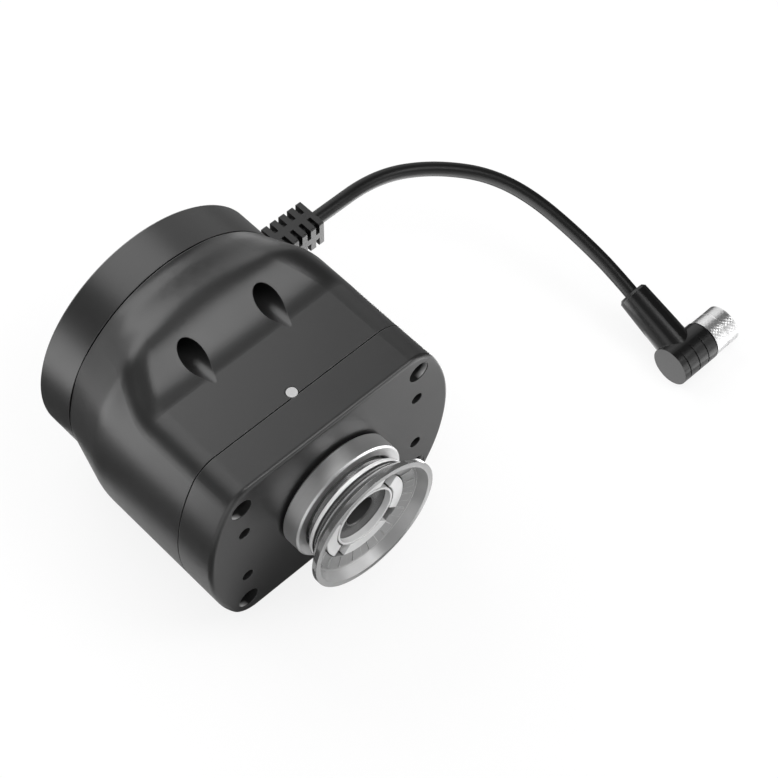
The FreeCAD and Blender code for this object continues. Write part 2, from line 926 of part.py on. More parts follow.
def motor_bushes():
    def bush(end_x):
        body = bar(bush_radius, end_x - bush_length, end_x, pump_depth, motor_z)
        return body.cut(bar(shaft_radius + running_fit, end_x - bush_length, end_x, pump_depth, motor_z))
    return group(bush(motor_rear_x + bush_length), bush(motor_face_x))


def motor_magnets():
    outer = motor_radius - motor_wall
    middle = (motor_rear_x + 2 * motor_cap + motor_face_x - motor_wall) / 2
    start = at(middle - magnet_length / 2, pump_depth, motor_z)
    magnets = []
    for side in (0, 180):
        arc = Part.makeCylinder(outer, magnet_length, FreeCAD.Vector(0, 0, 0), UP, magnet_angle)
        arc = arc.cut(Part.makeCylinder(outer - magnet_thickness, magnet_length))
        arc.rotate(FreeCAD.Vector(0, 0, 0), UP, side - magnet_angle / 2)
        arc.rotate(FreeCAD.Vector(0, 0, 0), FreeCAD.Vector(0, 1, 0), 90)
        arc.translate(start)
        magnets.append(arc)
    return group(*magnets)


def motor_shaft():
    end_x = crank_start_x + crank_hub_length
    return bar(shaft_radius, motor_rear_x, end_x, pump_depth, motor_z)


def motor_armature():
    middle = (motor_rear_x + 2 * motor_cap + motor_face_x - motor_wall) / 2
    start_x = middle - armature_length / 2
    end_x = middle + armature_length / 2
    stack = bar(armature_radius, start_x, end_x, pump_depth, motor_z)
    slots = []
    for pole in range(3):
        slot = block((start_x, end_x), (pump_depth - armature_slot, pump_depth + armature_slot),
                     (motor_z + armature_slot_floor, motor_z + armature_radius + 1))
        slot.rotate(at(0, pump_depth, motor_z), ACROSS, 120 * pole)
        slots.append(slot)
    stack = bored(stack, *slots)
    commutator = bar(commutator_radius, start_x - commutator_length, start_x, pump_depth, motor_z)
    bore = bar(shaft_radius, start_x - commutator_length, end_x, pump_depth, motor_z)
    return bored(joined(stack, commutator), bore)


# Pump head: the crank pin carries a rod that works a flat diaphragm under a valve plate with two flaps.
crank_start_x = motor_face_x + crank_wall
crank_face_x = crank_start_x + crank_gap + crank_hub_length
pin_z = motor_z + crank_throw
rod_start_x = head_x - rod_width / 2
rod_end_x = head_x + rod_width / 2


def eccentric():
    hub = bar(crank_hub, crank_start_x + crank_gap, crank_face_x, pump_depth, motor_z)
    hub = hub.cut(bar(shaft_radius, crank_start_x, crank_start_x + crank_hub_length, pump_depth, motor_z))
    return joined(hub, bar(crank_pin, crank_face_x, rod_end_x + crank_gap, pump_depth, pin_z))


def connecting_rod():
    top = deck_z - diaphragm_gap
    eye = bar(rod_eye, rod_start_x, rod_end_x, pump_depth, pin_z)
    stem = block((rod_start_x, rod_end_x), (pump_depth - rod_stem / 2, pump_depth + rod_stem / 2),
                 (pin_z + rod_eye / 2, top))
    disc = post(rod_disc, top - rod_disc_height, top, head_x, pump_depth)
    bore = bar(crank_pin + running_fit, rod_start_x, rod_end_x, pump_depth, pin_z)
    thread = post(small_screw_radius, top - rod_disc_height * 2, top, head_x, pump_depth)
    return bored(joined(eye, stem, disc), bore, thread)


def diaphragm_screw():
    bottom = plate_z + diaphragm_gap
    stud_end = deck_z - diaphragm_gap - rod_disc_height * 2
    washer = post(washer_radius, bottom, bottom + washer_height, head_x, pump_depth)
    return joined(washer, post(small_screw_radius, stud_end, bottom + washer_height, head_x, pump_depth))


def pump_screw_places():
    places = []
    for x_side in (-1, 1):
        for depth_side in (-1, 1):
            places.append((head_x + x_side * pump_screw_offset, pump_depth + depth_side * pump_screw_offset))
    return places


def head_slab(bottom, top):
    """A square slab of the pump head with its four screw holes."""
    slab = block((head_x - head_half, head_x + head_half), (pump_depth - head_half, pump_depth + head_half),
                 (bottom, top))
    holes = [post(small_screw_radius + thread_fit, bottom, top, x, depth) for x, depth in pump_screw_places()]
    return bored(slab, *holes)


def pump_crankcase():
    slab = block((head_x - head_half, head_x + head_half), (pump_depth - head_half, pump_depth + head_half),
                 (tray_top, deck_z))
    space = bar(crank_space, crank_start_x, head_x + head_half - crank_wall, pump_depth, motor_z)
    bore = post(stroke_bore, motor_z, deck_z, head_x, pump_depth)
    hub = bar(bush_radius, motor_face_x, crank_start_x, pump_depth, motor_z)
    holes = [post(small_screw_radius + thread_fit, deck_z - pump_screw_grip, deck_z, x, depth)
             for x, depth in pump_screw_places()]
    return bored(slab, space, bore, hub, *holes)


def diaphragm():
    sheet = head_slab(deck_z, plate_z)
    return sheet.cut(post(small_screw_radius + running_fit, deck_z, plate_z, head_x, pump_depth))


def valve_plate():
    slab = head_slab(plate_z, head_z)
    chamber = post(chamber_radius, plate_z, plate_z + chamber_height, head_x, pump_depth)
    ports = [post(port_radius, plate_z, head_z, head_x + side * port_offset, pump_depth) for side in (-1, 1)]
    return bored(slab, chamber, *ports)


def valve_flaps():
    return group(*[post(flap_radius, head_z, head_z + flap_height, head_x + side * port_offset, pump_depth)
                   for side in (-1, 1)])


def pump_head():
    slab = head_slab(head_z, head_top_z)
    tails = []
    cuts = []
    for side in (-1, 1):
        x = head_x + side * port_offset
        front = pump_depth + head_half
        tails.append(drum(barb_radius, front, front + barb_length, x, port_z))
        cuts.append(post(flap_pocket, head_z, head_z + flap_pocket_height, x, pump_depth))
        cuts.append(drum(port_radius, pump_depth, front + barb_length, x, port_z))
    return bored(joined(slab, *tails), *cuts)


def pump_screws():
    length = head_top_z - deck_z + pump_screw_grip - small_screw_radius
    return group(*[small_screw(at(x, depth, head_top_z), UP, length) for x, depth in pump_screw_places()])


# Motor strap: a bent bridge over the motor that holds it on the tray and gives the valve its shelf.
def strap_screw_x():
    return strap_start_x + strap_screw_inset


def strap_screw_depth(side):
    return pump_depth + side * (motor_radius + strap_fit + strap_leg / 2)


def motor_strap():
    inner = motor_radius + strap_fit
    body = block((strap_start_x, strap_end_x), (pump_depth - strap_reach, pump_depth + strap_reach),
                 (tray_top, shelf_z))
    tunnel = bar(inner, strap_start_x, strap_end_x, pump_depth, motor_z)
    gap = block((strap_start_x, strap_end_x), (pump_depth - inner, pump_depth + inner), (tray_top, motor_z))
    holes = [post(small_screw_radius + thread_fit, tray_top, motor_z, strap_screw_x(),
                  strap_screw_depth(side)) for side in (-1, 1)]
    return bored(body, tunnel, gap, *holes)


def strap_screws():
    length = tray_thickness + strap_leg
    return group(*[small_screw(at(strap_screw_x(), strap_screw_depth(side), tray_bottom), UP * -1, length)
                   for side in (-1, 1)])


# Vent valve: a small solenoid pulls a steel plunger off its seat and lets air back into the cup.
def valve_yoke():
    depth_range = (pump_depth - valve_half, pump_depth + valve_half)
    base = block((yoke_start_x, valve_end_x), depth_range, (shelf_z, shelf_z + valve_yoke_plate))
    top = valve_z + valve_half - valve_yoke_plate
    rear = block((yoke_start_x, yoke_start_x + valve_yoke_plate), depth_range, (shelf_z, top))
    front = block((valve_end_x - valve_yoke_plate, valve_end_x), depth_range, (shelf_z, top))
    core = bar(plunger_radius, valve_end_x - core_length, valve_end_x, pump_depth, valve_z)
    tunnel = bar(coil_core, yoke_start_x, yoke_start_x + valve_yoke_plate, pump_depth, valve_z)
    return bored(joined(base, rear, front, core), tunnel)


def valve_coil():
    start_x = yoke_start_x + valve_yoke_plate
    end_x = valve_end_x - valve_yoke_plate
    return bar(coil_radius, start_x, end_x, pump_depth, valve_z).cut(
        bar(coil_core, start_x, end_x, pump_depth, valve_z))


def valve_body():
    body = block((valve_start_x, yoke_start_x), (pump_depth - valve_half, pump_depth + valve_half),
                 (shelf_z, shelf_z + valve_body_height))
    front = pump_depth + valve_half
    tail = drum(barb_radius, front, front + barb_length, valve_tube_x, valve_z)
    chamber = bar(valve_chamber, valve_start_x + valve_seat_wall, yoke_start_x, pump_depth, valve_z)
    vent = bar(valve_seat_hole, valve_start_x, yoke_start_x, pump_depth, valve_z)
    channel = drum(port_radius, pump_depth, front + barb_length, valve_tube_x, valve_z)
    return bored(joined(body, tail), chamber, vent, channel)


plunger_start_x = valve_start_x + valve_seat_wall + cup_fit + plunger_tip_height
plunger_end_x = valve_end_x - core_length - spring_length


def valve_plunger():
    return bar(plunger_radius, plunger_start_x, plunger_end_x, pump_depth, valve_z)


def plunger_seal():
    return bar(plunger_tip, plunger_start_x - plunger_tip_height, plunger_start_x, pump_depth, valve_z)


def valve_spring():
    height = spring_length - 2 * (spring_wire + running_fit)
    coil = Part.makeHelix(height / spring_turns, height, spring_radius)
    circle = Part.Wire([Part.makeCircle(spring_wire, FreeCAD.Vector(spring_radius, 0, 0),
                                        FreeCAD.Vector(0, 1, 0))])
    spring = Part.Wire(coil.Edges).makePipeShell([circle], True, True)
    spring.rotate(FreeCAD.Vector(0, 0, 0), FreeCAD.Vector(0, 1, 0), 90)
    spring.translate(at(plunger_end_x + spring_wire + running_fit, pump_depth, valve_z))
    return spring


# Control board: it stands on four spacers behind the inner frame's rear wall, parts towards the flange.
def control_board():
    board = block((-board_half_width, board_half_width), (board_rear, board_front),
                  (-board_half_height, board_half_height))
    board = board.common(drum(board_half_width, board_rear, board_front))
    return bored(board, *four_ways(drum(small_screw_radius + screw_clearance, board_rear, board_front,
                                        board_screw_x, board_screw_z)))


def board_spacers():
    spacer = drum(board_spacer_radius, board_front, frame_rear_depth, board_screw_x, board_screw_z)
    spacer = spacer.cut(drum(small_screw_radius + screw_clearance, board_front, frame_rear_depth,
                             board_screw_x, board_screw_z))
    return group(*four_ways(spacer))


def board_screws():
    length = frame_rear_depth + tray_thickness - board_rear
    screw = small_screw(at(board_screw_x, board_rear, board_screw_z), FORWARD * -1, length)
    return group(*four_ways(screw))


def board_components():
    solids = []
    for x, z, half_x, half_z, height in board_chips:
        solids.append(block((x - half_x, x + half_x), (board_rear - height, board_rear),
                            (z - half_z, z + half_z)))
    solids.append(drum(board_capacitor_radius, flange_plate + board_capacitor_gap, board_rear,
                       *board_capacitor))
    return group(*solids)


def cable_header():
    return block((header_x, header_x + header_width), (header_front, board_rear),
                 (-header_half_height, header_half_height))


def lead_plug():
    return block((header_x, header_x + header_width), (cable_depth - lead_plug_drop, header_front),
                 (-lead_plug_half, lead_plug_half))


# Vacuum path: a manifold on the back of the cover joins the cup to the pump, the vent valve and a
# pressure sensor through two soft tubes.
def vacuum_manifold():
    body = drum(manifold_radius, manifold_start, cover_inner)
    below = block((-manifold_radius, manifold_radius), (manifold_start, cover_inner),
                  (-manifold_radius, -manifold_flat))
    body = body.cut(below)
    reach = manifold_radius + barb_length
    tails = bar(barb_radius, -reach, reach, manifold_tube, 0)
    cuts = [
        drum(manifold_chamber, cover_inner - manifold_socket - manifold_chamber_height, cover_inner),
        drum(nipple_radius + cup_fit, cover_inner - manifold_socket, cover_inner),
        bar(port_radius, -reach, reach, manifold_tube, 0),
        post(port_radius, -manifold_flat, 0, 0, manifold_tube),
    ]
    for side in (-1, 1):
        cuts.append(drum(small_screw_radius + screw_clearance, manifold_start, cover_inner,
                         0, side * manifold_screw_z))
    return bored(joined(body, tails), *cuts)


def manifold_screws():
    return group(*[small_screw(at(0, manifold_start, side * manifold_screw_z), FORWARD * -1,
                               manifold_height + manifold_screw_grip) for side in (-1, 1)])


def pressure_sensor():
    return block((-sensor_half, sensor_half), (manifold_tube - sensor_half, manifold_tube + sensor_half),
                 (-manifold_flat - sensor_height, -manifold_flat))


def hose_route(x, start, z):
    """From a tail that looks forward, round two bends, onto the manifold's side tail."""
    side = 1 if x > 0 else -1
    return [
        tuple(at(x, start, z)),
        tuple(at(x, manifold_tube, z)),
        tuple(at(x, manifold_tube, 0)),
        tuple(at(side * manifold_radius, manifold_tube, 0)),
    ]


def pump_tube():
    return hose(hose_route(inlet_x, pump_depth + head_half, port_z))


def valve_tube():
    return hose(hose_route(valve_tube_x, pump_depth + valve_half, valve_z))


# Strain relief: a moulded block on the flange's rim with slots round its four corners, so that it bends.
def strain_relief():
    half_width = relief_width / 2
    half_height = relief_height / 2
    body = block((flange_recess_radius, relief_end_x), (cable_depth - half_width, cable_depth + half_width),
                 (-half_height, half_height))
    lengthwise = [edge for edge in body.Edges if abs(edge.tangentAt(0).x) > 0.9]
    body = body.makeFillet(relief_corner, lengthwise)
    body = body.cut(drum(flange_radius, cable_depth - relief_width, cable_depth + relief_width))
    cuts = []
    for i in range(relief_slots):
        end_x = relief_end_x - relief_tooth - i * relief_pitch
        corner = block((end_x - relief_slot, end_x),
                       (cable_depth + relief_spine, cable_depth + relief_width),
                       (relief_spine, relief_height))
        corner = corner.cut(block((end_x - relief_slot, end_x), (cable_depth, cable_depth + relief_core),
                                  (0, relief_core)))
        lower = mirrored_z(corner)
        for one in (corner, lower):
            cuts.append(one)
            cuts.append(one.mirror(at(0, cable_depth, 0), FreeCAD.Vector(0, 1, 0)))
    body = bored(body, *cuts)
    inner_x = sqrt(flange_recess_radius ** 2 - relief_lock_half ** 2)
    neck = block((inner_x - relief_lock, flange_radius),
                 (cable_depth - relief_neck, cable_depth + relief_neck), (-relief_neck, relief_neck))
    lock = block((inner_x - relief_lock - relief_fit, inner_x - relief_fit),
                 (flange_plate + relief_fit, cable_depth + relief_lock_half),
                 (-relief_lock_half, relief_lock_half))
    body = joined(body, neck, lock)
    return body.cut(bar(cable_radius, 0, relief_end_x, cable_depth, 0))


# Cable: one straight lead inside the strain relief and the free cable outside it.
def inner_lead():
    return bar(cable_radius, header_x + header_width, relief_end_x, cable_depth, 0)


plug_centre = FreeCAD.Vector(plug_x, -plug_depth, plug_z)
plug_turn = FreeCAD.Rotation(ACROSS, plug_roll)
arm_axis = plug_turn.multVec(FreeCAD.Vector(0, 1, 0))
arm_end = plug_centre + arm_axis * plug_arm


def cable_points():
    """The route's corners: it leaves and arrives square to both end faces."""
    start = at(relief_end_x, cable_depth, 0)
    ends = [tuple(arm_end + arm_axis * cable_entry), tuple(arm_end)]
    return [tuple(start), tuple(start + ACROSS * cable_exit)] + cable_bends + ends


def cable():
    return swept(cable_points(), cable_radius)


# Plug: a right-angled moulding with a knurled coupling nut that turns freely on the contact carrier.
def plug_bar(radius, start, end):
    """A cylinder on the plug's axis, measured from the arm."""
    return bar(radius, plug_x + start, plug_x + end, plug_depth, plug_z)


def plug_body():
    barrel = plug_bar(plug_radius, -plug_rear, plug_front)
    cone_length = plug_arm - plug_arm_chamfer
    cone = Part.makeCone(plug_arm_root, plug_arm_tip, cone_length, plug_centre, arm_axis)
    tip = Part.makeCone(plug_arm_tip, plug_arm_tip - plug_arm_chamfer, plug_arm_chamfer,
                        plug_centre + arm_axis * cone_length, arm_axis)
    body = joined(barrel, cone, tip)
    cuts = []
    for i in range(plug_grooves):
        start = (i - (plug_grooves - 1) / 2) * plug_groove_pitch - plug_groove_width / 2
        ring = plug_bar(plug_radius + 1, start, start + plug_groove_width).cut(
            plug_bar(plug_radius - plug_groove_cut, start, start + plug_groove_width))
        half = Part.makeBox(plug_groove_width, 4 * plug_radius, 4 * plug_radius,
                            FreeCAD.Vector(start, plug_groove_reach - 4 * plug_radius, -2 * plug_radius))
        half.Placement = FreeCAD.Placement(plug_centre, plug_turn)
        cuts.append(ring.common(half))
    return bored(body, *cuts)


nut_start = plug_front + nut_gap
carrier_collar = nut_start + nut_lip + running_fit * 2


def coupling_nut():
    end = nut_start + nut_length
    body = plug_bar(nut_radius, nut_start, end)
    middle = (nut_start + end) / 2
    groove = plug_bar(nut_radius + 1, middle - nut_groove, middle + nut_groove).cut(
        plug_bar(nut_radius - nut_groove, middle - nut_groove, middle + nut_groove))
    bore = plug_bar(insert_neck + running_fit * 2, nut_start, end)
    thread = plug_bar(nut_thread, nut_start + nut_lip, end)
    return bored(body, groove, bore, thread)


def contact_places():
    places = []
    for i in range(contact_count):
        angle = 2 * pi * i / contact_count
        places.append((plug_depth + contact_circle * cos(angle), plug_z + contact_circle * sin(angle)))
    return places


def contact_carrier():
    neck = plug_bar(insert_neck, plug_front, carrier_collar)
    collar = plug_bar(insert_collar, carrier_collar, carrier_collar + insert_collar_length)
    tip_start = carrier_collar + insert_collar_length
    tip = plug_bar(insert_radius, tip_start, plug_front + insert_length)
    end_x = plug_x + plug_front + insert_length
    holes = [bar(contact_radius, end_x - contact_depth, end_x, depth, z) for depth, z in contact_places()]
    return bored(joined(neck, collar, tip), *holes)


def plug_contacts():
    end_x = plug_x + plug_front + insert_length
    sockets = []
    for depth, z in contact_places():
        socket = bar(contact_radius, end_x - contact_depth, end_x - contact_radius, depth, z)
        sockets.append(socket.cut(bar(contact_radius / 2, end_x - contact_depth / 2, end_x, depth, z)))
    return group(*sockets)


pieces = [
    base_flange, flange_gasket, main_housing, housing_screws, cover_gasket, front_cover, cover_screws,
    status_light_pipe, status_led, collar_seal, cup_collar, filter_disc, cup_neck, cup_bellows, cup_lip,
    cup_retainer, inner_frame, frame_screws, motor_can, motor_end_cap, motor_bushes, motor_magnets,
    motor_shaft, motor_armature, eccentric, connecting_rod, diaphragm_screw, pump_crankcase, diaphragm,
    valve_plate, valve_flaps, pump_head, pump_screws, motor_strap, strap_screws, valve_yoke, valve_coil,
    valve_body, valve_plunger, plunger_seal, valve_spring, control_board, board_spacers, board_screws,
    board_components, cable_header, lead_plug, vacuum_manifold, manifold_screws, pressure_sensor,
    pump_tube, valve_tube, strain_relief, inner_lead, cable, plug_body, coupling_nut, contact_carrier,
    plug_contacts,
]

os.makedirs("parts", exist_ok=True)
for piece in pieces:
    shape = piece()
    if not shape.isValid():
        print("not valid:", piece.__name__)
    shape.exportStep("parts/" + piece.__name__ + ".step")
    if piece is cable:
        path, radii, length = route_path(cable_points())
        print("cable arc radii", [round(radius, 1) for radius in radii], "length", round(length, 1))
        print("cable volume", round(shape.Volume, 1), "of", round(pi * cable_radius ** 2 * length, 1))
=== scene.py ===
import math

import bmesh
import bpy
from mathutils import Matrix, Vector


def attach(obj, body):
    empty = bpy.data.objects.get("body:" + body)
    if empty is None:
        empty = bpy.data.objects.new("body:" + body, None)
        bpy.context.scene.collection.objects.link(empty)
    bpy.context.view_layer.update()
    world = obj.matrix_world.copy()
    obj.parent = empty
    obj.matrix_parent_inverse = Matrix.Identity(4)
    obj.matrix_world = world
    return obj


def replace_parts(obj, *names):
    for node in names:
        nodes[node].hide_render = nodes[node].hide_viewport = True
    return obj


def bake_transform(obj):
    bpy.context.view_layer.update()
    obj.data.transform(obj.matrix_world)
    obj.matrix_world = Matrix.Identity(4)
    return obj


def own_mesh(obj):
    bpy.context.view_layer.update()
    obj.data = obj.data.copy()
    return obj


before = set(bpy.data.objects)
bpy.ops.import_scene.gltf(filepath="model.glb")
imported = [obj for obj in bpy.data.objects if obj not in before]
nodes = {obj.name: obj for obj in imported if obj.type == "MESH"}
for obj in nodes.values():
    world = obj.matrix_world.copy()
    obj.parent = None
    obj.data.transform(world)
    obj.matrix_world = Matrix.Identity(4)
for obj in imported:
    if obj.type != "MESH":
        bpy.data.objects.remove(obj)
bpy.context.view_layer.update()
MM = 0.001

# Rear flange
# A turned and drilled aluminium ring that bolts to the robot's wrist. It is bead blasted and anodised
# satin black, which leaves a very fine grain; edges painted brighter: rubbed wear and painted highlight.
anodic_black, edge_wear_and_highlight_black, anodic_roughness = 0.012, 0.08, 0.34
patchiness = 0.12
edge_starts, edge_full = 0.99, 0.8


def wire(tree, node, inputs):
    """Sets a node's inputs to values, or links them to the outputs of other nodes."""
    for name, value in inputs.items():
        if isinstance(value, bpy.types.NodeSocket):
            tree.links.new(value, node.inputs[name])
        else:
            node.inputs[name].default_value = value


def place(tree, kind, inputs=(), **settings):
    """Adds a shader node with its settings and inputs, and gives its outputs."""
    node = tree.nodes.new("ShaderNode" + kind)
    for name, value in settings.items():
        setattr(node, name, value)
    wire(tree, node, dict(inputs))
    return node.outputs


def where(tree):
    """The place on the piece, in its own coordinates."""
    return place(tree, "TexCoord")["Object"]


def mask(tree, value, start, end):
    """0 where the value is at start, 1 where it is at end, and a ramp between them."""
    return place(tree, "MapRange", {"Value": value, "From Min": start, "From Max": end})["Result"]


def between(tree, share, low, high):
    """A number from low to high, by a share from 0 to 1."""
    return place(tree, "MapRange", {"Value": share, "To Min": low, "To Max": high})["Result"]


def mix(tree, share, first, second):
    """A colour from the first to the second, by a share from 0 to 1."""
    return place(tree, "Mix", {0: share, 6: first, 7: second}, data_type="RGBA")[2]


def bump(tree, height, depth, strength=1.0, **under):
    """A normal dented by a height, so many millimetres deep."""
    inputs = {"Strength": strength, "Distance": depth * MM, "Height": height, **under}
    return place(tree, "Bump", inputs)["Normal"]


def effect(name, inputs, outputs):
    """A new node group with named number inputs and named outputs, to be filled in by the caller."""
    group = bpy.data.node_groups.new(name, "ShaderNodeTree")
    for socket, value in inputs.items():
        made = group.interface.new_socket(socket, in_out="INPUT", socket_type="NodeSocketFloat")
        made.default_value = value
    for socket, kind in outputs.items():
        group.interface.new_socket(socket, in_out="OUTPUT", socket_type="NodeSocket" + kind)
    source = group.nodes.new("NodeGroupInput")
    sink = group.nodes.new("NodeGroupOutput")
    return group, source.outputs, sink


def grain_effect():
    """A fine grain for bump, and broad soft patches such as handling leaves."""
    group, given, sink = effect("grain", {"Grain Scale": 5000.0, "Patch Scale": 70.0},
                                {"Height": "Float", "Patches": "Float"})
    spot = where(group)
    fine = place(group, "TexNoise", {"Vector": spot, "Scale": given["Grain Scale"], "Detail": 2.0})
    broad = place(group, "TexNoise", {"Vector": spot, "Scale": given["Patch Scale"], "Detail": 3.0})
    wire(group, sink, {"Height": fine["Fac"], "Patches": broad["Fac"]})
    return group


def edge_wear_and_highlight_effect():
    """A normal that rounds the edges, and a mask of where they are, for edges painted as wear and as painted
    highlight.
    """
    group, given, sink = effect("edge_wear_and_highlight", {"Radius": 0.0003}, {"Normal": "Vector", "Edge": "Float"})
    round_normal = place(group, "Bevel", {"Radius": given["Radius"]}, samples=4)["Normal"]
    flat_normal = place(group, "NewGeometry")["Normal"]
    along = place(group, "VectorMath", {0: round_normal, 1: flat_normal}, operation="DOT_PRODUCT")["Value"]
    wire(group, sink, {"Normal": round_normal, "Edge": mask(group, along, edge_starts, edge_full)})
    return group


grain = grain_effect()
edge_wear_and_highlight = edge_wear_and_highlight_effect()


def shader(name):
    """A new material with its Principled shader."""
    material = bpy.data.materials.new(name)
    material.use_nodes = True
    tree = material.node_tree
    return material, tree, tree.nodes["Principled BSDF"]


def shade(value):
    """A neutral colour of one brightness, or a colour given in full."""
    rgb = value if isinstance(value, tuple) else (value, value, value)
    return (*rgb, 1.0)


def finish(name, colour, edge_wear_and_highlight_colour, roughness, metal=0.0, edge=0.25, scale=5000.0, height=0.004, sheen=0.5):
    """A solid finish: fine grain, soft patches in tone and gloss, and edges lighter as rubbed wear and
    painted highlight.
    """
    material, tree, skin = shader(name)
    texture = place(tree, "Group", {"Grain Scale": scale}, node_tree=grain)
    rim = place(tree, "Group", {"Radius": edge * MM}, node_tree=edge_wear_and_highlight)
    less, more = 1 - patchiness, 1 + patchiness
    dark, light = (shade(tuple(c * part for c in shade(colour)[:3])) for part in (less, more))
    toned = mix(tree, texture["Patches"], dark, light)
    wire(tree, skin, {
        # The edge colour is partly rubbed wear and partly painted highlight.
        "Base Color": mix(tree, rim["Edge"], toned, shade(edge_wear_and_highlight_colour)),
        "Roughness": between(tree, texture["Patches"], roughness * less, roughness * more),
        "Normal": bump(tree, texture["Height"], height, Normal=rim["Normal"]),
        "Metallic": metal,
        "Specular IOR Level": sheen,
    })
    return material


def dress(material, *names):
    """Gives frame nodes their material."""
    for name in names:
        nodes[name].data.materials.clear()
        nodes[name].data.materials.append(material)


black_anodised = finish("black_anodised", anodic_black, edge_wear_and_highlight_black, anodic_roughness)
dress(black_anodised, "base_flange")

# Flange gasket
# A flat ring cut from black rubber sheet and clamped between flange and housing; only its edge shows,
# as the dark seam.
seal_rubber = finish("seal_rubber", 0.008, 0.012, 0.75, scale=2500.0, height=0.01)
dress(seal_rubber, "flange_gasket")

# Main housing
# A cast and machined aluminium shell that blends from the round flange to the flat-topped front. It has
# the flange's black finish and leaning bores through which a key reaches the flange screws.
dress(black_anodised, "main_housing")

# Housing screws
# Four steel socket screws with a black oxide finish. They sit at the bottom of the leaning bores and hold
# the housing to the flange.
black_oxide = finish("black_oxide", 0.045, 0.16, 0.38, metal=0.85, edge=0.12, scale=7000.0, height=0.003)
dress(black_oxide, "housing_screws")

# Inner frame
# A tray moulded in dark glass-filled nylon, with its motor strap and board spacers; it carries all the
# works and is screwed to the back of the cover with small plain steel screws.
frame_nylon = finish("frame_nylon", 0.07, 0.09, 0.55, scale=3000.0, height=0.012)
plain_steel = finish("plain_steel", 0.5, 0.62, 0.3, metal=1.0, edge=0.1, scale=6000.0, height=0.003)
dress(frame_nylon, "inner_frame", "motor_strap", "motor_end_cap", "board_spacers")
dress(plain_steel, "frame_screws", "strap_screws", "board_screws", "manifold_screws", "pump_screws")

# Pump motor
# A small brushed motor: drawn steel can, two sintered ferrite magnets, bronze bushes, ground shaft and a
# three-pole armature of stacked steel sheets.
sintered_ferrite = finish("sintered_ferrite", 0.11, 0.16, 0.6, scale=4000.0, height=0.02)
sintered_bronze = finish("sintered_bronze", (0.55, 0.38, 0.19), (0.65, 0.48, 0.27), 0.4, metal=1.0,
                         scale=4500.0, height=0.012)


def banded(name, profile, wave, dark, light, dent, metal, roughness):
    """Metal in fine bands across the X axis; the dent between bands is a depth and a strength."""
    material, tree, skin = shader(name)
    bands = place(tree, "TexWave", {"Vector": where(tree), **wave},
                  wave_type="BANDS", bands_direction="X", wave_profile=profile)["Fac"]
    wire(tree, skin, {"Base Color": mix(tree, bands, shade(dark), shade(light)),
                      "Normal": bump(tree, bands, *dent), "Metallic": metal, "Roughness": roughness})
    return material


stacked_sheets = banded("stacked_sheets", "SAW", {"Scale": 650.0, "Distortion": 0.2}, dark=0.22, light=0.5,
                        dent=(0.03, 0.6), metal=1.0, roughness=0.42)
dress(plain_steel, "motor_can", "motor_shaft")
dress(sintered_ferrite, "motor_magnets")
dress(sintered_bronze, "motor_bushes", "eccentric")
dress(stacked_sheets, "motor_armature")

# Diaphragm pump
# Grey moulded crankcase, valve plate and head, clamped over a rubber diaphragm and flaps by four screws;
# the connecting rod rides on the motor's eccentric. The diaphragm's clamped rim stays and its hub goes with
# the rod; the thin roll between them is left open, as room for the stroke.
sheet_x, sheet_y, sheet_half = 11.4, -34.5, 11.4
sheet_bottom, sheet_top = 4.673, 5.673
rim_bore, hub_radius, stud_hole = 6.4, 5.0, 1.04
sheet_screw_offset, sheet_screw_hole = 9.2, 1.03
round_steps = 48
weld_distance = 0.001 * MM


def add_piece(name, data, material, body):
    """Adds a piece to the scene with its finish, riding on one body."""
    piece = bpy.data.objects.new(name, data)
    bpy.context.scene.collection.objects.link(piece)
    data.materials.append(material)
    if body:
        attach(piece, body)
    return piece


def circle(x, y, radius):
    """The points of a circle, in millimetres."""
    turns = [2 * math.pi * k / round_steps for k in range(round_steps)]
    return [(x + radius * math.cos(a), y + radius * math.sin(a), 0.0) for a in turns]


def add_line(curve, kind, points):
    """Adds a line through points, given in millimetres, to a curve."""
    line = curve.splines.new(kind)
    line.points.add(len(points) - 1)
    for point, spot in zip(line.points, points):
        point.co = (*(c * MM for c in spot), 1.0)
    return line


def weld(mesh):
    """Joins the points that faces share and turns every face outwards, so that the mesh is closed."""
    shape = bmesh.new()
    shape.from_mesh(mesh)
    bmesh.ops.remove_doubles(shape, verts=shape.verts, dist=weld_distance)
    bmesh.ops.recalc_face_normals(shape, faces=shape.faces)
    shape.to_mesh(mesh)
    shape.free()


def smooth(mesh):
    """Shades every face of a mesh smoothly."""
    mesh.polygons.foreach_set("use_smooth", [True] * len(mesh.polygons))


def solid_mesh(curve):
    """The closed mesh of a curve."""
    solid = bpy.data.objects.new(curve.name, curve)
    mesh = bpy.data.meshes.new_from_object(solid)
    bpy.data.objects.remove(solid)
    weld(mesh)
    return mesh


def cut_sheet(name, loops):
    """Flat rubber cut along closed lines: the first is its outer edge and the others are holes."""
    curve = bpy.data.curves.new(name, "CURVE")
    curve.dimensions = "2D"
    curve.fill_mode = "BOTH"
    curve.extrude = (sheet_top - sheet_bottom) / 2 * MM
    for loop in loops:
        add_line(curve, "POLY", loop).use_cyclic_u = True
    mesh = solid_mesh(curve)
    mesh.transform(Matrix.Translation((0.0, 0.0, (sheet_bottom + sheet_top) / 2 * MM)))
    return mesh


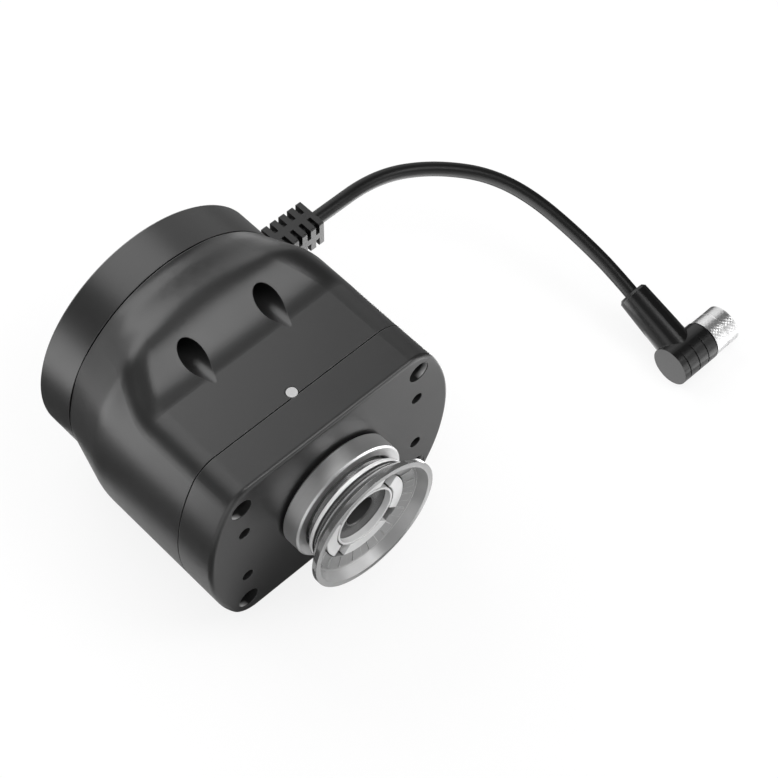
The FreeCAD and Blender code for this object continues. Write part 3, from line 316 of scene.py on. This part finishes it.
corners = ((-1, -1), (1, -1), (1, 1), (-1, 1))
rim_loops = [[(sheet_x + a * sheet_half, sheet_y + b * sheet_half, 0.0) for a, b in corners],
             circle(sheet_x, sheet_y, rim_bore)]
rim_loops += [circle(sheet_x + a * sheet_screw_offset, sheet_y + b * sheet_screw_offset, sheet_screw_hole)
              for a, b in corners]
hub_loops = [circle(sheet_x, sheet_y, hub_radius), circle(sheet_x, sheet_y, stud_hole)]
for name, loops, body in (("diaphragm_rim", rim_loops, "housing"), ("diaphragm_hub", hub_loops, "rod")):
    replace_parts(add_piece(name, cut_sheet(name, loops), seal_rubber, body), "diaphragm")
pump_grey = finish("pump_grey", (0.19, 0.2, 0.21), (0.25, 0.26, 0.27), 0.45, scale=2600.0, height=0.01)
dress(pump_grey, "pump_crankcase", "valve_plate", "pump_head", "connecting_rod")
dress(seal_rubber, "valve_flaps")
dress(plain_steel, "diaphragm_screw")

# Vent valve
# A solenoid valve: folded steel yoke, coil of enamelled copper wire laid turn beside turn, moulded body,
# steel plunger with a rubber tip, and a wound return spring that the plunger presses together.
spring_start, spring_end, spring_anchor = -7.16, -4.44, -4.4
spring_y, spring_z = -34.5, 14.473
spring_radius, spring_wire = 1.45, 0.2
spring_turns, spring_steps = 4, 128


def round_wire(name, radius, fineness):
    """A curve whose lines become round wire with closed ends."""
    curve = bpy.data.curves.new(name, "CURVE")
    curve.dimensions = "3D"
    curve.bevel_depth = radius
    curve.bevel_resolution = fineness
    curve.use_fill_caps = True
    return curve


def spring_mesh():
    """Round wire wound along the X axis, between the yoke and the plunger."""
    curve = round_wire("return_spring", spring_wire * MM, fineness=3)
    first, last = spring_start + spring_wire, spring_end - spring_wire
    points = []
    for k in range(spring_steps + 1):
        share = k / spring_steps
        turn = 2 * math.pi * spring_turns * share
        points.append((first + (last - first) * share, spring_y + spring_radius * math.sin(turn),
                       spring_z - spring_radius * math.cos(turn)))
    add_line(curve, "POLY", points)
    mesh = solid_mesh(curve)
    smooth(mesh)
    return mesh


wound_copper = banded("wound_copper", "SIN", {"Scale": 800.0, "Distortion": 0.35, "Detail": 1.0},
                      dark=(0.3, 0.12, 0.05), light=(0.72, 0.36, 0.2), dent=(0.06, 0.8), metal=0.9,
                      roughness=0.32)
dress(plain_steel, "valve_yoke", "valve_plunger")
return_spring = add_piece("return_spring", spring_mesh(), plain_steel, "housing")
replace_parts(return_spring, "valve_spring")
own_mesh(return_spring)
dress(wound_copper, "valve_coil")
dress(pump_grey, "valve_body")
dress(seal_rubber, "plunger_seal")

# Control board
# A fibreglass board under green solder mask, with moulded chips, a can capacitor and a pale nylon
# header that the lead's plug pushes into.
mask_green, mask_light, track_green = (0.015, 0.13, 0.05), (0.02, 0.16, 0.06), (0.05, 0.26, 0.1)


def solder_mask():
    """Green mask with slightly raised tracks under it."""
    material, tree, skin = shader("solder_mask")
    tracks = place(tree, "TexBrick", {"Vector": where(tree), "Scale": 260.0, "Mortar Size": 0.06,
                                      "Color1": shade(mask_green), "Color2": shade(mask_light),
                                      "Mortar": shade(track_green)})
    wire(tree, skin, {"Base Color": tracks["Color"], "Normal": bump(tree, tracks["Fac"], 0.03, 0.5),
                      "Roughness": 0.35})
    return material


chip_black = finish("chip_black", 0.025, 0.04, 0.5, edge=0.1, scale=6000.0, height=0.006)
header_nylon = finish("header_nylon", (0.78, 0.76, 0.68), (0.85, 0.83, 0.76), 0.35, scale=2000.0)
dress(solder_mask(), "control_board")
dress(chip_black, "board_components", "pressure_sensor")
dress(header_nylon, "cable_header", "lead_plug")

# Vacuum path
# A moulded grey manifold screwed to the back of the cover, behind the cup. Two soft clear tubes, pushed
# over its spigots, join it to the pump and the valve.
tube_tint = (0.86, 0.87, 0.87)
tube_haze = (0.12, 0.3)


def clear_tube():
    """Soft milky tube with a faint haze along it."""
    material, tree, skin = shader("clear_tube")
    texture = place(tree, "Group", {"Patch Scale": 300.0}, node_tree=grain)
    wire(tree, skin, {"Base Color": shade(tube_tint), "Transmission Weight": 0.8, "IOR": 1.42,
                      "Roughness": between(tree, texture["Patches"], *tube_haze)})
    return material


dress(pump_grey, "vacuum_manifold")
dress(clear_tube(), "pump_tube", "valve_tube")

# Front cover
# The housing's lid, milled with screw pockets and blind tapped holes round the collar and finished like
# the housing; it sits on a thin rubber gasket and takes four black socket screws.
# Painted shade darkens the bores' walls; a painted highlight lightens each pocket's outer side at the mouth.
pocket_x, pocket_z, pocket_radius = 27.3, 20.1, 2.95
pocket_mouth, pocket_black = 66.5, 65.1
hole_x, hole_z, hole_radius = 27.0, 9.5, 1.65
mouth_band, wall_band = 0.1, (0.1, 0.05)
bore_shade_tone, wall_roughness = 0.001, 0.9
pocket_highlight_tone, pocket_highlight_share = 0.6, 0.6


def calc(tree, operation, *values):
    """The result of a math node."""
    return place(tree, "Math", dict(enumerate(values)), operation=operation)[0]


def axes(tree):
    """The place on the piece, as its X, Y and Z."""
    return place(tree, "SeparateXYZ", {0: where(tree)})


def span(tree, across, up):
    """The straight distance made by two distances at right angles."""
    both = place(tree, "CombineXYZ", {0: across, 1: up})[0]
    return place(tree, "VectorMath", {0: both}, operation="LENGTH")["Value"]


def bored_cover():
    """Black finish with painted shade in the bores and a painted highlight on the pockets' outer sides at the
    mouth.
    """
    material = finish("bored_cover", anodic_black, edge_wear_and_highlight_black, anodic_roughness)
    tree = material.node_tree
    skin = tree.nodes["Principled BSDF"]
    at = axes(tree)
    behind_face = mask(tree, at["Y"], -(pocket_mouth + mouth_band) * MM, -pocket_mouth * MM)
    near_mouth = mask(tree, at["Y"], -pocket_black * MM, -pocket_mouth * MM)
    walls, outward = [], []
    for x, z, radius in ((pocket_x, pocket_z, pocket_radius), (hole_x, hole_z, hole_radius)):
        out, rise = (calc(tree, "SUBTRACT", calc(tree, "ABSOLUTE", at[axis]), centre * MM)
                     for axis, centre in (("X", x), ("Z", z)))
        inside = mask(tree, span(tree, out, rise), *((radius + band) * MM for band in wall_band))
        walls.append(calc(tree, "MULTIPLY", inside, behind_face))
        outward.append(out)
    # Painted shade: the bores' walls turn near black and dull.
    dull = calc(tree, "MAXIMUM", *walls)
    outer_side = mask(tree, outward[0], 0.0, pocket_radius * pocket_highlight_share * MM)
    # Painted highlight: a pale patch on the pockets' outer sides near the mouth.
    pocket_highlight = calc(tree, "MULTIPLY", walls[0], calc(tree, "MULTIPLY", outer_side, near_mouth))
    colour, gloss = (skin.inputs[name].links[0].from_socket for name in ("Base Color", "Roughness"))
    black = mix(tree, dull, colour, shade(bore_shade_tone))
    wire(tree, skin, {"Base Color": mix(tree, pocket_highlight, black, shade(pocket_highlight_tone)),
                      "Roughness": place(tree, "Mix", {0: dull, 2: gloss, 3: wall_roughness})[0]})
    return material


dress(seal_rubber, "cover_gasket")
dress(bored_cover(), "front_cover")
dress(black_oxide, "cover_screws")

# Status light
# A small round light pipe of milky plastic. It is pressed into the seam between housing and cover, over
# a diode.
lens_dark, lens_light = 0.38, 0.46
lens_depth = 0.6 * MM


def milky_lens():
    """Milky plastic with the faintest cloud in it."""
    material, tree, skin = shader("milky_lens")
    texture = place(tree, "Group", {"Patch Scale": 900.0}, node_tree=grain)
    wire(tree, skin, {"Base Color": mix(tree, texture["Patches"], shade(lens_dark), shade(lens_light)),
                      "Roughness": 0.25, "Subsurface Weight": 0.3, "Subsurface Radius": (lens_depth,) * 3})
    return material


dress(milky_lens(), "status_light_pipe", "status_led")

# Cup collar
# A turned aluminium ring that screws into the cover over a rubber seal, left in its natural colour with
# the satin bands of the lathe tool; a woven filter lies in its bore.
band_dark, band_light = 0.63, 0.73
band_roughness = (0.36, 0.48)
thread_light, thread_dark = 0.08, 0.05


def turned_aluminium():
    """Fine rings left by the tool, round the tool axis and along it."""
    material, tree, skin = shader("turned_aluminium")
    rim = place(tree, "Group", {"Radius": 0.15 * MM}, node_tree=edge_wear_and_highlight)
    at = axes(tree)
    line = place(tree, "CombineXYZ", {0: span(tree, at["X"], at["Z"]), 1: at["Y"]})[0]
    rings = place(tree, "TexNoise", {"Vector": line, "Scale": 9000.0, "Detail": 3.0})["Fac"]
    wire(tree, skin, {"Base Color": mix(tree, rings, shade(band_dark), shade(band_light)),
                      "Roughness": between(tree, rings, *band_roughness), "Metallic": 1.0,
                      "Normal": bump(tree, rings, 0.003, Normal=rim["Normal"])})
    return material


def filter_weave():
    """Plain weave of dark polyester thread."""
    material, tree, skin = shader("filter_weave")
    weave = place(tree, "TexChecker", {"Vector": where(tree), "Scale": 5000.0,
                                       "Color1": shade(thread_light), "Color2": shade(thread_dark)})
    wire(tree, skin, {"Base Color": weave["Color"], "Normal": bump(tree, weave["Fac"], 0.05),
                      "Roughness": 0.9})
    return material


dress(seal_rubber, "collar_seal")
dress(turned_aluminium(), "cup_collar")
dress(filter_weave(), "filter_disc")

# Suction cup
# One piece of clear silicone, moulded with a thick neck that stands on the collar's spigot, one soft fold
# and a flared lip; low pads inside the lip keep a thin workpiece from closing the cup. The mould leaves the
# outside polished and the inside frosted; the crest of the fold is painted near white as a painted highlight.
pad_count = 18
pad_share = 0.52
pad_turn = 12.6
pad_height = 0.28
pad_edge_angle = 0.4
arc_steps = 5
arc_reach = 0.45
columns_per_side = 6
cup_crease = 40
cup_profile = [
    (6.55, 69.5, 0.2), (12.5, 69.5, 0.25), (12.5, 72.4, 0.15), (13.0, 72.55, 0.1), (13.1, 72.95, 0.1),
    (12.95, 73.15, 0.1), (13.5, 73.35, 0.1), (13.6, 73.75, 0.1), (13.45, 73.95, 0.1), (14.0, 74.15, 0.1),
    (14.0, 74.5, 0.1), (14.8, 74.75, 0.3), (14.8, 75.6, 0.35), (13.8, 75.85, 0.15), (13.8, 76.15, 0.15),
    (14.6, 76.3, 0.1), (14.8, 76.7, 0.1), (14.9, 76.95, 0.1), (15.6, 77.2, 0.1), (15.7, 77.55, 0.1),
    (18.6, 80.0, 0.15), (18.6, 81.3, 0.12), (17.1, 81.3, 0.12), (16.0, 78.65, 0.06), (15.85, 78.75, 0.06),
    (15.6, 78.55, 0.06), (15.3, 78.45, 0.05), (15.15, 78.4, 0.05), (12.4, 77.6, 0.15), (12.4, 76.4, 0.3),
    (12.6, 75.9, 0.3), (13.8, 75.1, 0.4), (11.5, 72.2, 0.3), (8.6, 72.2, 0.2), (8.6, 73.5, 0.15),
    (9.6, 73.5, 0.2), (9.6, 74.6, 0.2), (4.95, 74.6, 0.15), (4.95, 73.5, 0.1), (6.55, 73.5, 0.2),
]
neck_root, crest, outer_rim = 3, (11, 12), 21
pad_band = (27, 28)
polished_face, frosted_face, crest_highlight_face = range(3)


def rounded(points, steps):
    """A closed profile with each corner rounded by its own radius, and the corner that each point is from."""
    line = []
    for i, (radius, depth, bend) in enumerate(points):
        here = Vector((radius, depth))
        before = Vector(points[i - 1][:2]) - here
        after = Vector(points[(i + 1) % len(points)][:2]) - here
        opening = before.angle(after)
        reach = min(bend / math.tan(opening / 2), before.length * arc_reach, after.length * arc_reach)
        first, last = here + before.normalized() * reach, here + after.normalized() * reach
        for k in range(steps + 1):
            t = k / steps
            point = first * (1 - t) ** 2 + here * (2 * t * (1 - t)) + last * t ** 2
            line.append((point.x, point.y, i))
    return line


def ring_mesh(name, columns, crease, face_kinds=None):
    """A closed ring over columns of points: each is a closed outline, and the last meets the first."""
    rows = len(columns[0])
    faces = []
    for i in range(len(columns)):
        j = (i + 1) % len(columns)
        for k in range(rows):
            m = (k + 1) % rows
            faces.append((i * rows + k, i * rows + m, j * rows + m, j * rows + k))
    mesh = bpy.data.meshes.new(name)
    mesh.from_pydata([point for column in columns for point in column], [], faces)
    if face_kinds:
        mesh.polygons.foreach_set("material_index", face_kinds)
    weld(mesh)
    smooth(mesh)
    mesh.set_sharp_from_angle(angle=math.radians(crease))
    return mesh


def cup_columns():
    """The angles of the mesh's columns, and how far each stands on a pad."""
    columns = []
    pitch = 2 * math.pi / pad_count
    pad_end = pad_share * pitch
    first = math.radians(pad_turn)
    step = math.radians(pad_edge_angle)
    for n in range(pad_count):
        for rise, start, end in ((1.0, 0.0, pad_end), (0.0, pad_end + step, pitch - step)):
            for k in range(columns_per_side + 1):
                columns.append((first + n * pitch + start + (end - start) * k / columns_per_side, rise))
    return columns


def cup_mesh():
    """The profile turned round the suction axis, with its inner cone lifted where a pad stands."""
    line = rounded(cup_profile, arc_steps)
    outer, inner = (Vector(cup_profile[corner][:2]) for corner in pad_band)
    slope = (inner - outer).normalized()
    up = Vector((slope.y, -slope.x)) * pad_height
    columns = []
    for angle, rise in cup_columns():
        column = []
        for radius, depth, corner in line:
            lift = up * rise if corner in pad_band else Vector((0.0, 0.0))
            r, s = radius + lift.x, depth + lift.y
            column.append((r * math.cos(angle) * MM, -s * MM, r * math.sin(angle) * MM))
        columns.append(column)
    kinds = []
    for _, _, corner in line[1:] + line[:1]:
        outside = polished_face if neck_root < corner <= outer_rim else frosted_face
        kinds.append(crest_highlight_face if corner in crest else outside)
    return ring_mesh("suction_cup", columns, cup_crease, kinds * len(columns))


def clear_silicone(name, tone, edge_highlight_tone, clear, dull, sharp, gloss):
    """Clear silicone with a faint haze, the smallest ripple of the mould and edges painted lighter as a
    painted highlight.
    """
    material, tree, skin = shader(name)
    texture = place(tree, "Group", {"Grain Scale": 900.0, "Patch Scale": 220.0}, node_tree=grain)
    rim = place(tree, "Group", {"Radius": 0.12 * MM}, node_tree=edge_wear_and_highlight)
    # Edges painted lighter in the base colour: a painted highlight.
    wire(tree, skin, {"Base Color": mix(tree, rim["Edge"], shade(tone), shade(edge_highlight_tone)),
                      "Roughness": between(tree, texture["Patches"], sharp, dull),
                      "Normal": bump(tree, texture["Height"], 0.004, 0.5),
                      "Transmission Weight": clear, "IOR": 1.41,
                      "Coat Weight": 1.0, "Coat Roughness": dull, "Coat IOR": gloss})
    return material


polished_silicone = clear_silicone("polished_silicone", tone=0.14, edge_highlight_tone=0.7, clear=0.5,
                                   dull=0.1, sharp=0.04, gloss=1.8)
frosted_silicone = clear_silicone("frosted_silicone", tone=0.19, edge_highlight_tone=0.9, clear=0.05,
                                  dull=0.38, sharp=0.28, gloss=2.0)
# The fold's crest is painted near white: a painted highlight.
crest_highlight_silicone = clear_silicone("crest_highlight_silicone", tone=0.9, edge_highlight_tone=0.97, clear=0.05,
                                dull=0.2, sharp=0.1, gloss=1.8)
suction_cup = add_piece("suction_cup", cup_mesh(), polished_silicone, None)
suction_cup.data.materials.append(frosted_silicone)
suction_cup.data.materials.append(crest_highlight_silicone)
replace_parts(suction_cup, "cup_neck", "cup_bellows", "cup_lip")
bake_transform(suction_cup)

# Cup retainer
# A hollow screw moulded in pale translucent plastic that clamps the cup to the collar: four petals round
# a well, whose floor is open to the vacuum.
well_mouth, well_floor = 76.4, 76.22
# The well's floor and bore are painted dark, a painted shade; the edges are painted near white, a painted
# highlight.
well_shade_tone, petal_dark, petal_light, petal_edge_highlight = 0.06, 0.78, 0.88, 0.97


def pale_plastic():
    """Pale translucent plastic with a soft cloudiness; painted highlight on its edges, painted shade in its
    well.
    """
    material, tree, skin = shader("pale_plastic")
    texture = place(tree, "Group", {"Patch Scale": 260.0}, node_tree=grain)
    rim = place(tree, "Group", {"Radius": 0.3 * MM}, node_tree=edge_wear_and_highlight)
    cloud = mix(tree, texture["Patches"], shade(petal_dark), shade(petal_light))
    lit = mix(tree, rim["Edge"], cloud, shade(petal_edge_highlight))
    # Painted shade: everything deeper than the well's floor turns dark.
    depth = mask(tree, axes(tree)["Y"], -well_mouth * MM, -well_floor * MM)
    wire(tree, skin, {"Base Color": mix(tree, depth, lit, shade(well_shade_tone)), "Normal": rim["Normal"],
                      "Roughness": 0.2, "Transmission Weight": 0.08, "IOR": 1.49})
    return material


dress(pale_plastic(), "cup_retainer")

# Strain relief
# A slotted block moulded in satin black rubber that snaps into the flange's rim and lets the cable bend
# without kinking; the lead runs straight through it.
relief_rubber = finish("relief_rubber", 0.008, 0.05, 0.42, edge=0.12, scale=3500.0, height=0.006, sheen=0.38)
cable_jacket = finish("cable_jacket", 0.004, 0.008, 0.38, edge=0.1, scale=2200.0, height=0.006, sheen=0.25)
dress(relief_rubber, "strain_relief")
dress(cable_jacket, "inner_lead")

# Cable
# A short round lead with a satin black jacket. It leaves the strain relief level, droops in one bend
# under its own weight and enters the plug's arm.
cable_radius = 1.95 * MM
cable_route = [
    (49.55, -5.15, 0.0), (58.15, -5.15, 0.0), (67.3, -4.7, -0.8), (76.0, -6.0, -1.9), (83.8, -9.5, -3.2),
    (90.5, -14.2, -4.7), (96.2, -19.8, -6.3), (100.3, -26.6, -8.2), (102.8, -34.5, -10.4),
    (104.1, -42.9, -12.8), (105.0, -51.1, -15.4), (105.6, -59.185, -18.179), (105.6, -66.669, -21.006),
]
lead = round_wire("free_cable", cable_radius, fineness=8)
line = add_line(lead, "NURBS", cable_route)
line.order_u = 3
line.use_endpoint_u = True
line.resolution_u = 10
line.use_smooth = True
free_cable = add_piece("free_cable", lead, cable_jacket, "housing")
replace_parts(free_cable, "cable")

# Plug
# A right-angled plug moulded in glossy black plastic round a dark contact carrier with four gold-plated
# sockets; thin grooves round its barrel give grip.
plug_gloss = finish("plug_gloss", 0.003, 0.02, 0.26, edge=0.15, scale=1800.0, height=0.002, sheen=0.4)
plated_gold = finish("plated_gold", (0.8, 0.55, 0.2), (0.9, 0.68, 0.32), 0.2, metal=1.0, edge=0.05)
dress(plug_gloss, "plug_body")
dress(chip_black, "contact_carrier")
dress(plated_gold, "plug_contacts")

# Coupling nut
# A brass nut with bright nickel plating that turns freely on the contact carrier; two bands of diamond
# knurl with a groove between them are rolled into it.
nut_start, nut_end, nut_radius = 112.65, 120.75, 5.3
nut_bore, nut_thread, nut_lip = 3.48, 4.05, 1.2
nut_y, nut_z = -86.5, -28.5
nut_chamfer = 0.2
nut_shoulder = ((0.0, 0.45), (0.08, 0.25))
nut_crease = 35
knurl_count = 28
knurl_depth = 0.03
knurl_edge = 0.45
knurl_slope = 2.4
groove_half, groove_depth, groove_wall = 0.35, 0.15, 0.06
columns_per_point = 10
nut_columns = knurl_count * columns_per_point
band_rows = 28


def knurl(turn, along):
    """How deep the crossed grooves are at a place, from 0 on a point of the knurl to 1 in a groove."""
    pitch = 2 * math.pi * nut_radius / knurl_count
    deepest = 0.0
    for side in (-1, 1):
        phase = (turn * knurl_count + side * along / pitch) % 1.0
        deepest = max(deepest, 1 - abs(phase - 0.5) * 2)
    return max(0.0, deepest * knurl_slope - (knurl_slope - 1))


def nut_profile():
    """Rows of the nut from its rear face round the outside and back through the bore: x, radius, knurled."""
    middle = (nut_start + nut_end) / 2
    rows = [(nut_start, nut_bore, 0)]
    rows += [(nut_start + inward, nut_radius - drop, 0) for inward, drop in nut_shoulder]
    bands = ((nut_start + nut_chamfer, middle - groove_half), (middle + groove_half, nut_end - nut_chamfer))
    for low, high in bands:
        for k in range(band_rows + 1):
            x = low + (high - low) * k / band_rows
            rows.append((x, nut_radius, min(1.0, (x - low) / knurl_edge, (high - x) / knurl_edge)))
        if high < middle:
            floor_half_width = groove_half - groove_wall
            rows += [(middle + side * floor_half_width, nut_radius - groove_depth, 0) for side in (-1, 1)]
    rows += [(nut_end - inward, nut_radius - drop, 0) for inward, drop in reversed(nut_shoulder)]
    rows += [(nut_end, nut_thread + nut_chamfer, 0), (nut_end - nut_chamfer, nut_thread, 0)]
    rows += [(nut_start + nut_lip, nut_thread, 0), (nut_start + nut_lip, nut_bore, 0)]
    return rows


def nut_mesh():
    """The rows turned round the nut's axis, with the knurl pressed into them."""
    rows = nut_profile()
    columns = []
    for c in range(nut_columns):
        turn = c / nut_columns
        angle = 2 * math.pi * turn
        column = []
        for x, radius, knurled in rows:
            r = radius - knurl_depth * knurled * knurl(turn, x - nut_start)
            column.append((x * MM, (nut_y + r * math.cos(angle)) * MM, (nut_z + r * math.sin(angle)) * MM))
        columns.append(column)
    return ring_mesh("knurled_nut", columns, nut_crease)


bright_nickel = finish("bright_nickel", 0.66, 0.78, 0.3, metal=1.0, edge=0.06, scale=2500.0, height=0.001)
knurled_nut = add_piece("knurled_nut", nut_mesh(), bright_nickel, "nut")
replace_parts(knurled_nut, "coupling_nut")

# Studio
# A plain white floor in a white room, with large soft lamps. Dark cloths hung round the camera and dark
# and white cards on the floor stand out of sight and shape what the glossy pieces mirror.
floor_height = -0.034
floor_half = 3.0
floor_tone, floor_glow, floor_mirrored = 0.86, 0.85, 0.1
ambient = 0.42
aim = Vector((0.0, -0.04, 0.0))
cloth_level, card_level = floor_height + 0.0002, floor_height + 0.0003
card_step = 6
dome_radius, dome_rows = 0.9, 8


def white_floor():
    """White to the eye and to clear pieces, apart from a share of real light that keeps the shadow."""
    material, tree, skin = shader("white_floor")
    wire(tree, skin, {"Base Color": shade(floor_tone), "Roughness": 0.9})
    glow = place(tree, "Emission", {"Color": shade(1.0), "Strength": 1.0})[0]
    path = place(tree, "LightPath")
    seen = calc(tree, "MAXIMUM", path["Is Camera Ray"], path["Is Transmission Ray"])
    mirrored = calc(tree, "MULTIPLY", path["Is Glossy Ray"], floor_mirrored)
    share = calc(tree, "MULTIPLY_ADD", seen, floor_glow, mirrored)
    both = place(tree, "MixShader", {0: share, 1: skin.outputs[0], 2: glow})[0]
    wire(tree, tree.nodes["Material Output"], {"Surface": both})
    return material


def stage_mesh(name, points, faces, material):
    """Adds a thing that belongs to the studio and not to the object."""
    mesh = bpy.data.meshes.new(name)
    mesh.from_pydata(points, [], faces)
    mesh.materials.append(material)
    thing = bpy.data.objects.new(name, mesh)
    bpy.context.scene.collection.objects.link(thing)
    return thing


stage_mesh("floor", [(a * floor_half, b * floor_half, floor_height) for a, b in corners], [(0, 1, 2, 3)],
           white_floor())


def glow_sheet(name, points, faces, tone, one_sided=False):
    """A card or cloth of one brightness that only gloss sees, on both sides or on its front."""
    material, tree, _ = shader(name)
    glow = place(tree, "Emission", {"Color": shade(1.0), "Strength": tone})[0]
    if one_sided:
        back = place(tree, "NewGeometry")["Backfacing"]
        clear = place(tree, "BsdfTransparent")[0]
        glow = place(tree, "MixShader", {0: back, 1: glow, 2: clear})[0]
    wire(tree, tree.nodes["Material Output"], {"Surface": glow})
    sheet = stage_mesh(name, points, faces, material)
    sheet.visible_camera = False
    sheet.visible_diffuse = False
    sheet.visible_shadow = False


def card(name, rows, start, end, tone):
    """A sheet bent round the object from one angle to another, with its radius and height row by row."""
    steps = max(2, round(abs(end - start) / card_step))
    points, faces = [], []
    for i in range(steps + 1):
        a = math.radians(start + (end - start) * i / steps)
        points += [(aim.x + r * math.cos(a), aim.y + r * math.sin(a), z) for r, z in rows]
    n = len(rows)
    for i in range(steps):
        faces += [(i * n + k, i * n + k + 1, (i + 1) * n + k + 1, (i + 1) * n + k) for k in range(n - 1)]
    glow_sheet(name, points, faces, tone)


def dome(low, high):
    """Rows of a cloth on a dome, between two heights in degrees."""
    heights = [math.radians(low + (high - low) * k / dome_rows) for k in range(dome_rows + 1)]
    return [(dome_radius * math.cos(e), dome_radius * math.sin(e)) for e in heights]


def upright(radius, low, high):
    """Rows of a card that stands on the floor."""
    return [(radius, low), (radius, high)]


def lying(near, far, level):
    """Rows of a cloth or card that lies on the floor."""
    return [(near, level), (far, level)]


card("low_camera_cloth", dome(16, 48), 118, 290, 0.22)
card("high_camera_cloth", dome(48, 80), 142, 290, 0.22)
card("right_cloth", dome(-1, 68), -44, 24, 0.1)
card("overhead_cloth", dome(62, 80), -70, -40, 0.15)
card("floor_cloth", lying(0.058, 0.125, cloth_level), 45, 240, 0.14)
card("right_floor_cloth", lying(0.06, 0.9, cloth_level), 5, 45, 0.35)
# Painted shade: a dark cloth under the front stands in for the contact shadow that glossy pieces mirror.
card("contact_shade_cloth", lying(0.001, 0.044, card_level), 215, 330, 0.12)
card("left_strip", upright(0.14, -0.03, 0.036), 136, 168, 3.5)
card("front_left_strip", upright(0.2, -0.03, 0.25), 186, 228, 1.6)
card("front_right_strip", upright(0.26, -0.03, 0.05), -72, -46, 3.8)
card("plug_card", lying(0.1, 0.114, card_level), -30, -18, 2.0)
glow_sheet("cable_card", [(x, y, z) for x, z in ((0.056, 0.014), (0.056, card_level), (0.086, card_level))
                          for y in (-0.062, -0.008)], [(0, 2, 3, 1), (2, 4, 5, 3)], 5.0, one_sided=True)
glow_sheet("lip_card", [(0.048, -0.083, -0.006), (0.038, -0.113, -0.006),
                        (0.033, -0.111, 0.036), (0.043, -0.081, 0.036)], [(0, 1, 2, 3)], 3.5, one_sided=True)
card("plug_front_card", lying(0.128, 0.155, card_level), -36, -26, 3.0)
card("plug_floor_cloth", lying(0.118, 0.9, card_level), -16, 5, 0.08)
card("top_cloth", dome(42, 72), 22, 60, 0.35)
# Painted shade: a dark cloth in front of the collar stands in for the shade under the cup that the cover
# mirrors.
card("collar_shade_cloth", lying(0.046, 0.064, card_level), 272, 290, 0.1)
card("collar_floor_card", lying(0.055, 0.068, card_level), -67, -58, 2.0)


def softbox(name, azimuth, elevation, distance, width, height, strength, glossy=True):
    """A soft rectangular lamp turned to the object, with the brightness of its face."""
    lamp = bpy.data.lights.new(name, "AREA")
    lamp.shape = "RECTANGLE"
    lamp.size, lamp.size_y = width, height
    lamp.energy = strength * width * height * math.pi
    box = bpy.data.objects.new(name, lamp)
    bpy.context.scene.collection.objects.link(box)
    a, e = math.radians(azimuth), math.radians(elevation)
    out = Vector((math.cos(e) * math.cos(a), math.cos(e) * math.sin(a), math.sin(e)))
    box.location = aim + out * distance
    box.rotation_mode = "QUATERNION"
    box.rotation_quaternion = out.to_track_quat("Z", "Y")
    box.visible_glossy = glossy


softbox("key_light", azimuth=-57, elevation=53, distance=0.8, width=0.3, height=0.3, strength=6.0)
softbox("back_light", azimuth=88, elevation=44, distance=0.8, width=0.74, height=0.58, strength=2.6)
softbox("top_light", azimuth=-100, elevation=78, distance=1.2, width=1.2, height=1.2, strength=1.6,
        glossy=False)

world = bpy.data.worlds.new("room")
bpy.context.scene.world = world
world.use_nodes = True
room = world.node_tree
path = place(room, "LightPath")
seen = calc(room, "MAXIMUM", path["Is Camera Ray"], path["Is Glossy Ray"])
seen = calc(room, "MAXIMUM", seen, path["Is Transmission Ray"])
wire(room, room.nodes["Background"], {"Color": shade(1.0), "Strength": between(room, seen, ambient, 1.0)})

camera = bpy.data.cameras.new("camera")
camera.lens = 104.76
camera.sensor_width = 36.0
camera.clip_start, camera.clip_end = 0.01, 10.0
eye = bpy.data.objects.new("camera", camera)
bpy.context.scene.collection.objects.link(eye)
right = (0.72620975, -0.68737053, 0.01188039)
above = (0.56405036, 0.60562306, 0.56130909)
back = (-0.39302237, -0.400927, 0.82752098)
stand = Vector((-0.1862055, -0.274887, 0.4522862))
turn = Matrix((right, above, back)).transposed().to_quaternion()
eye.matrix_world = Matrix.LocRotScale(stand, turn, None)
bpy.context.scene.camera = eye
bpy.context.scene.view_settings.view_transform = "Standard"
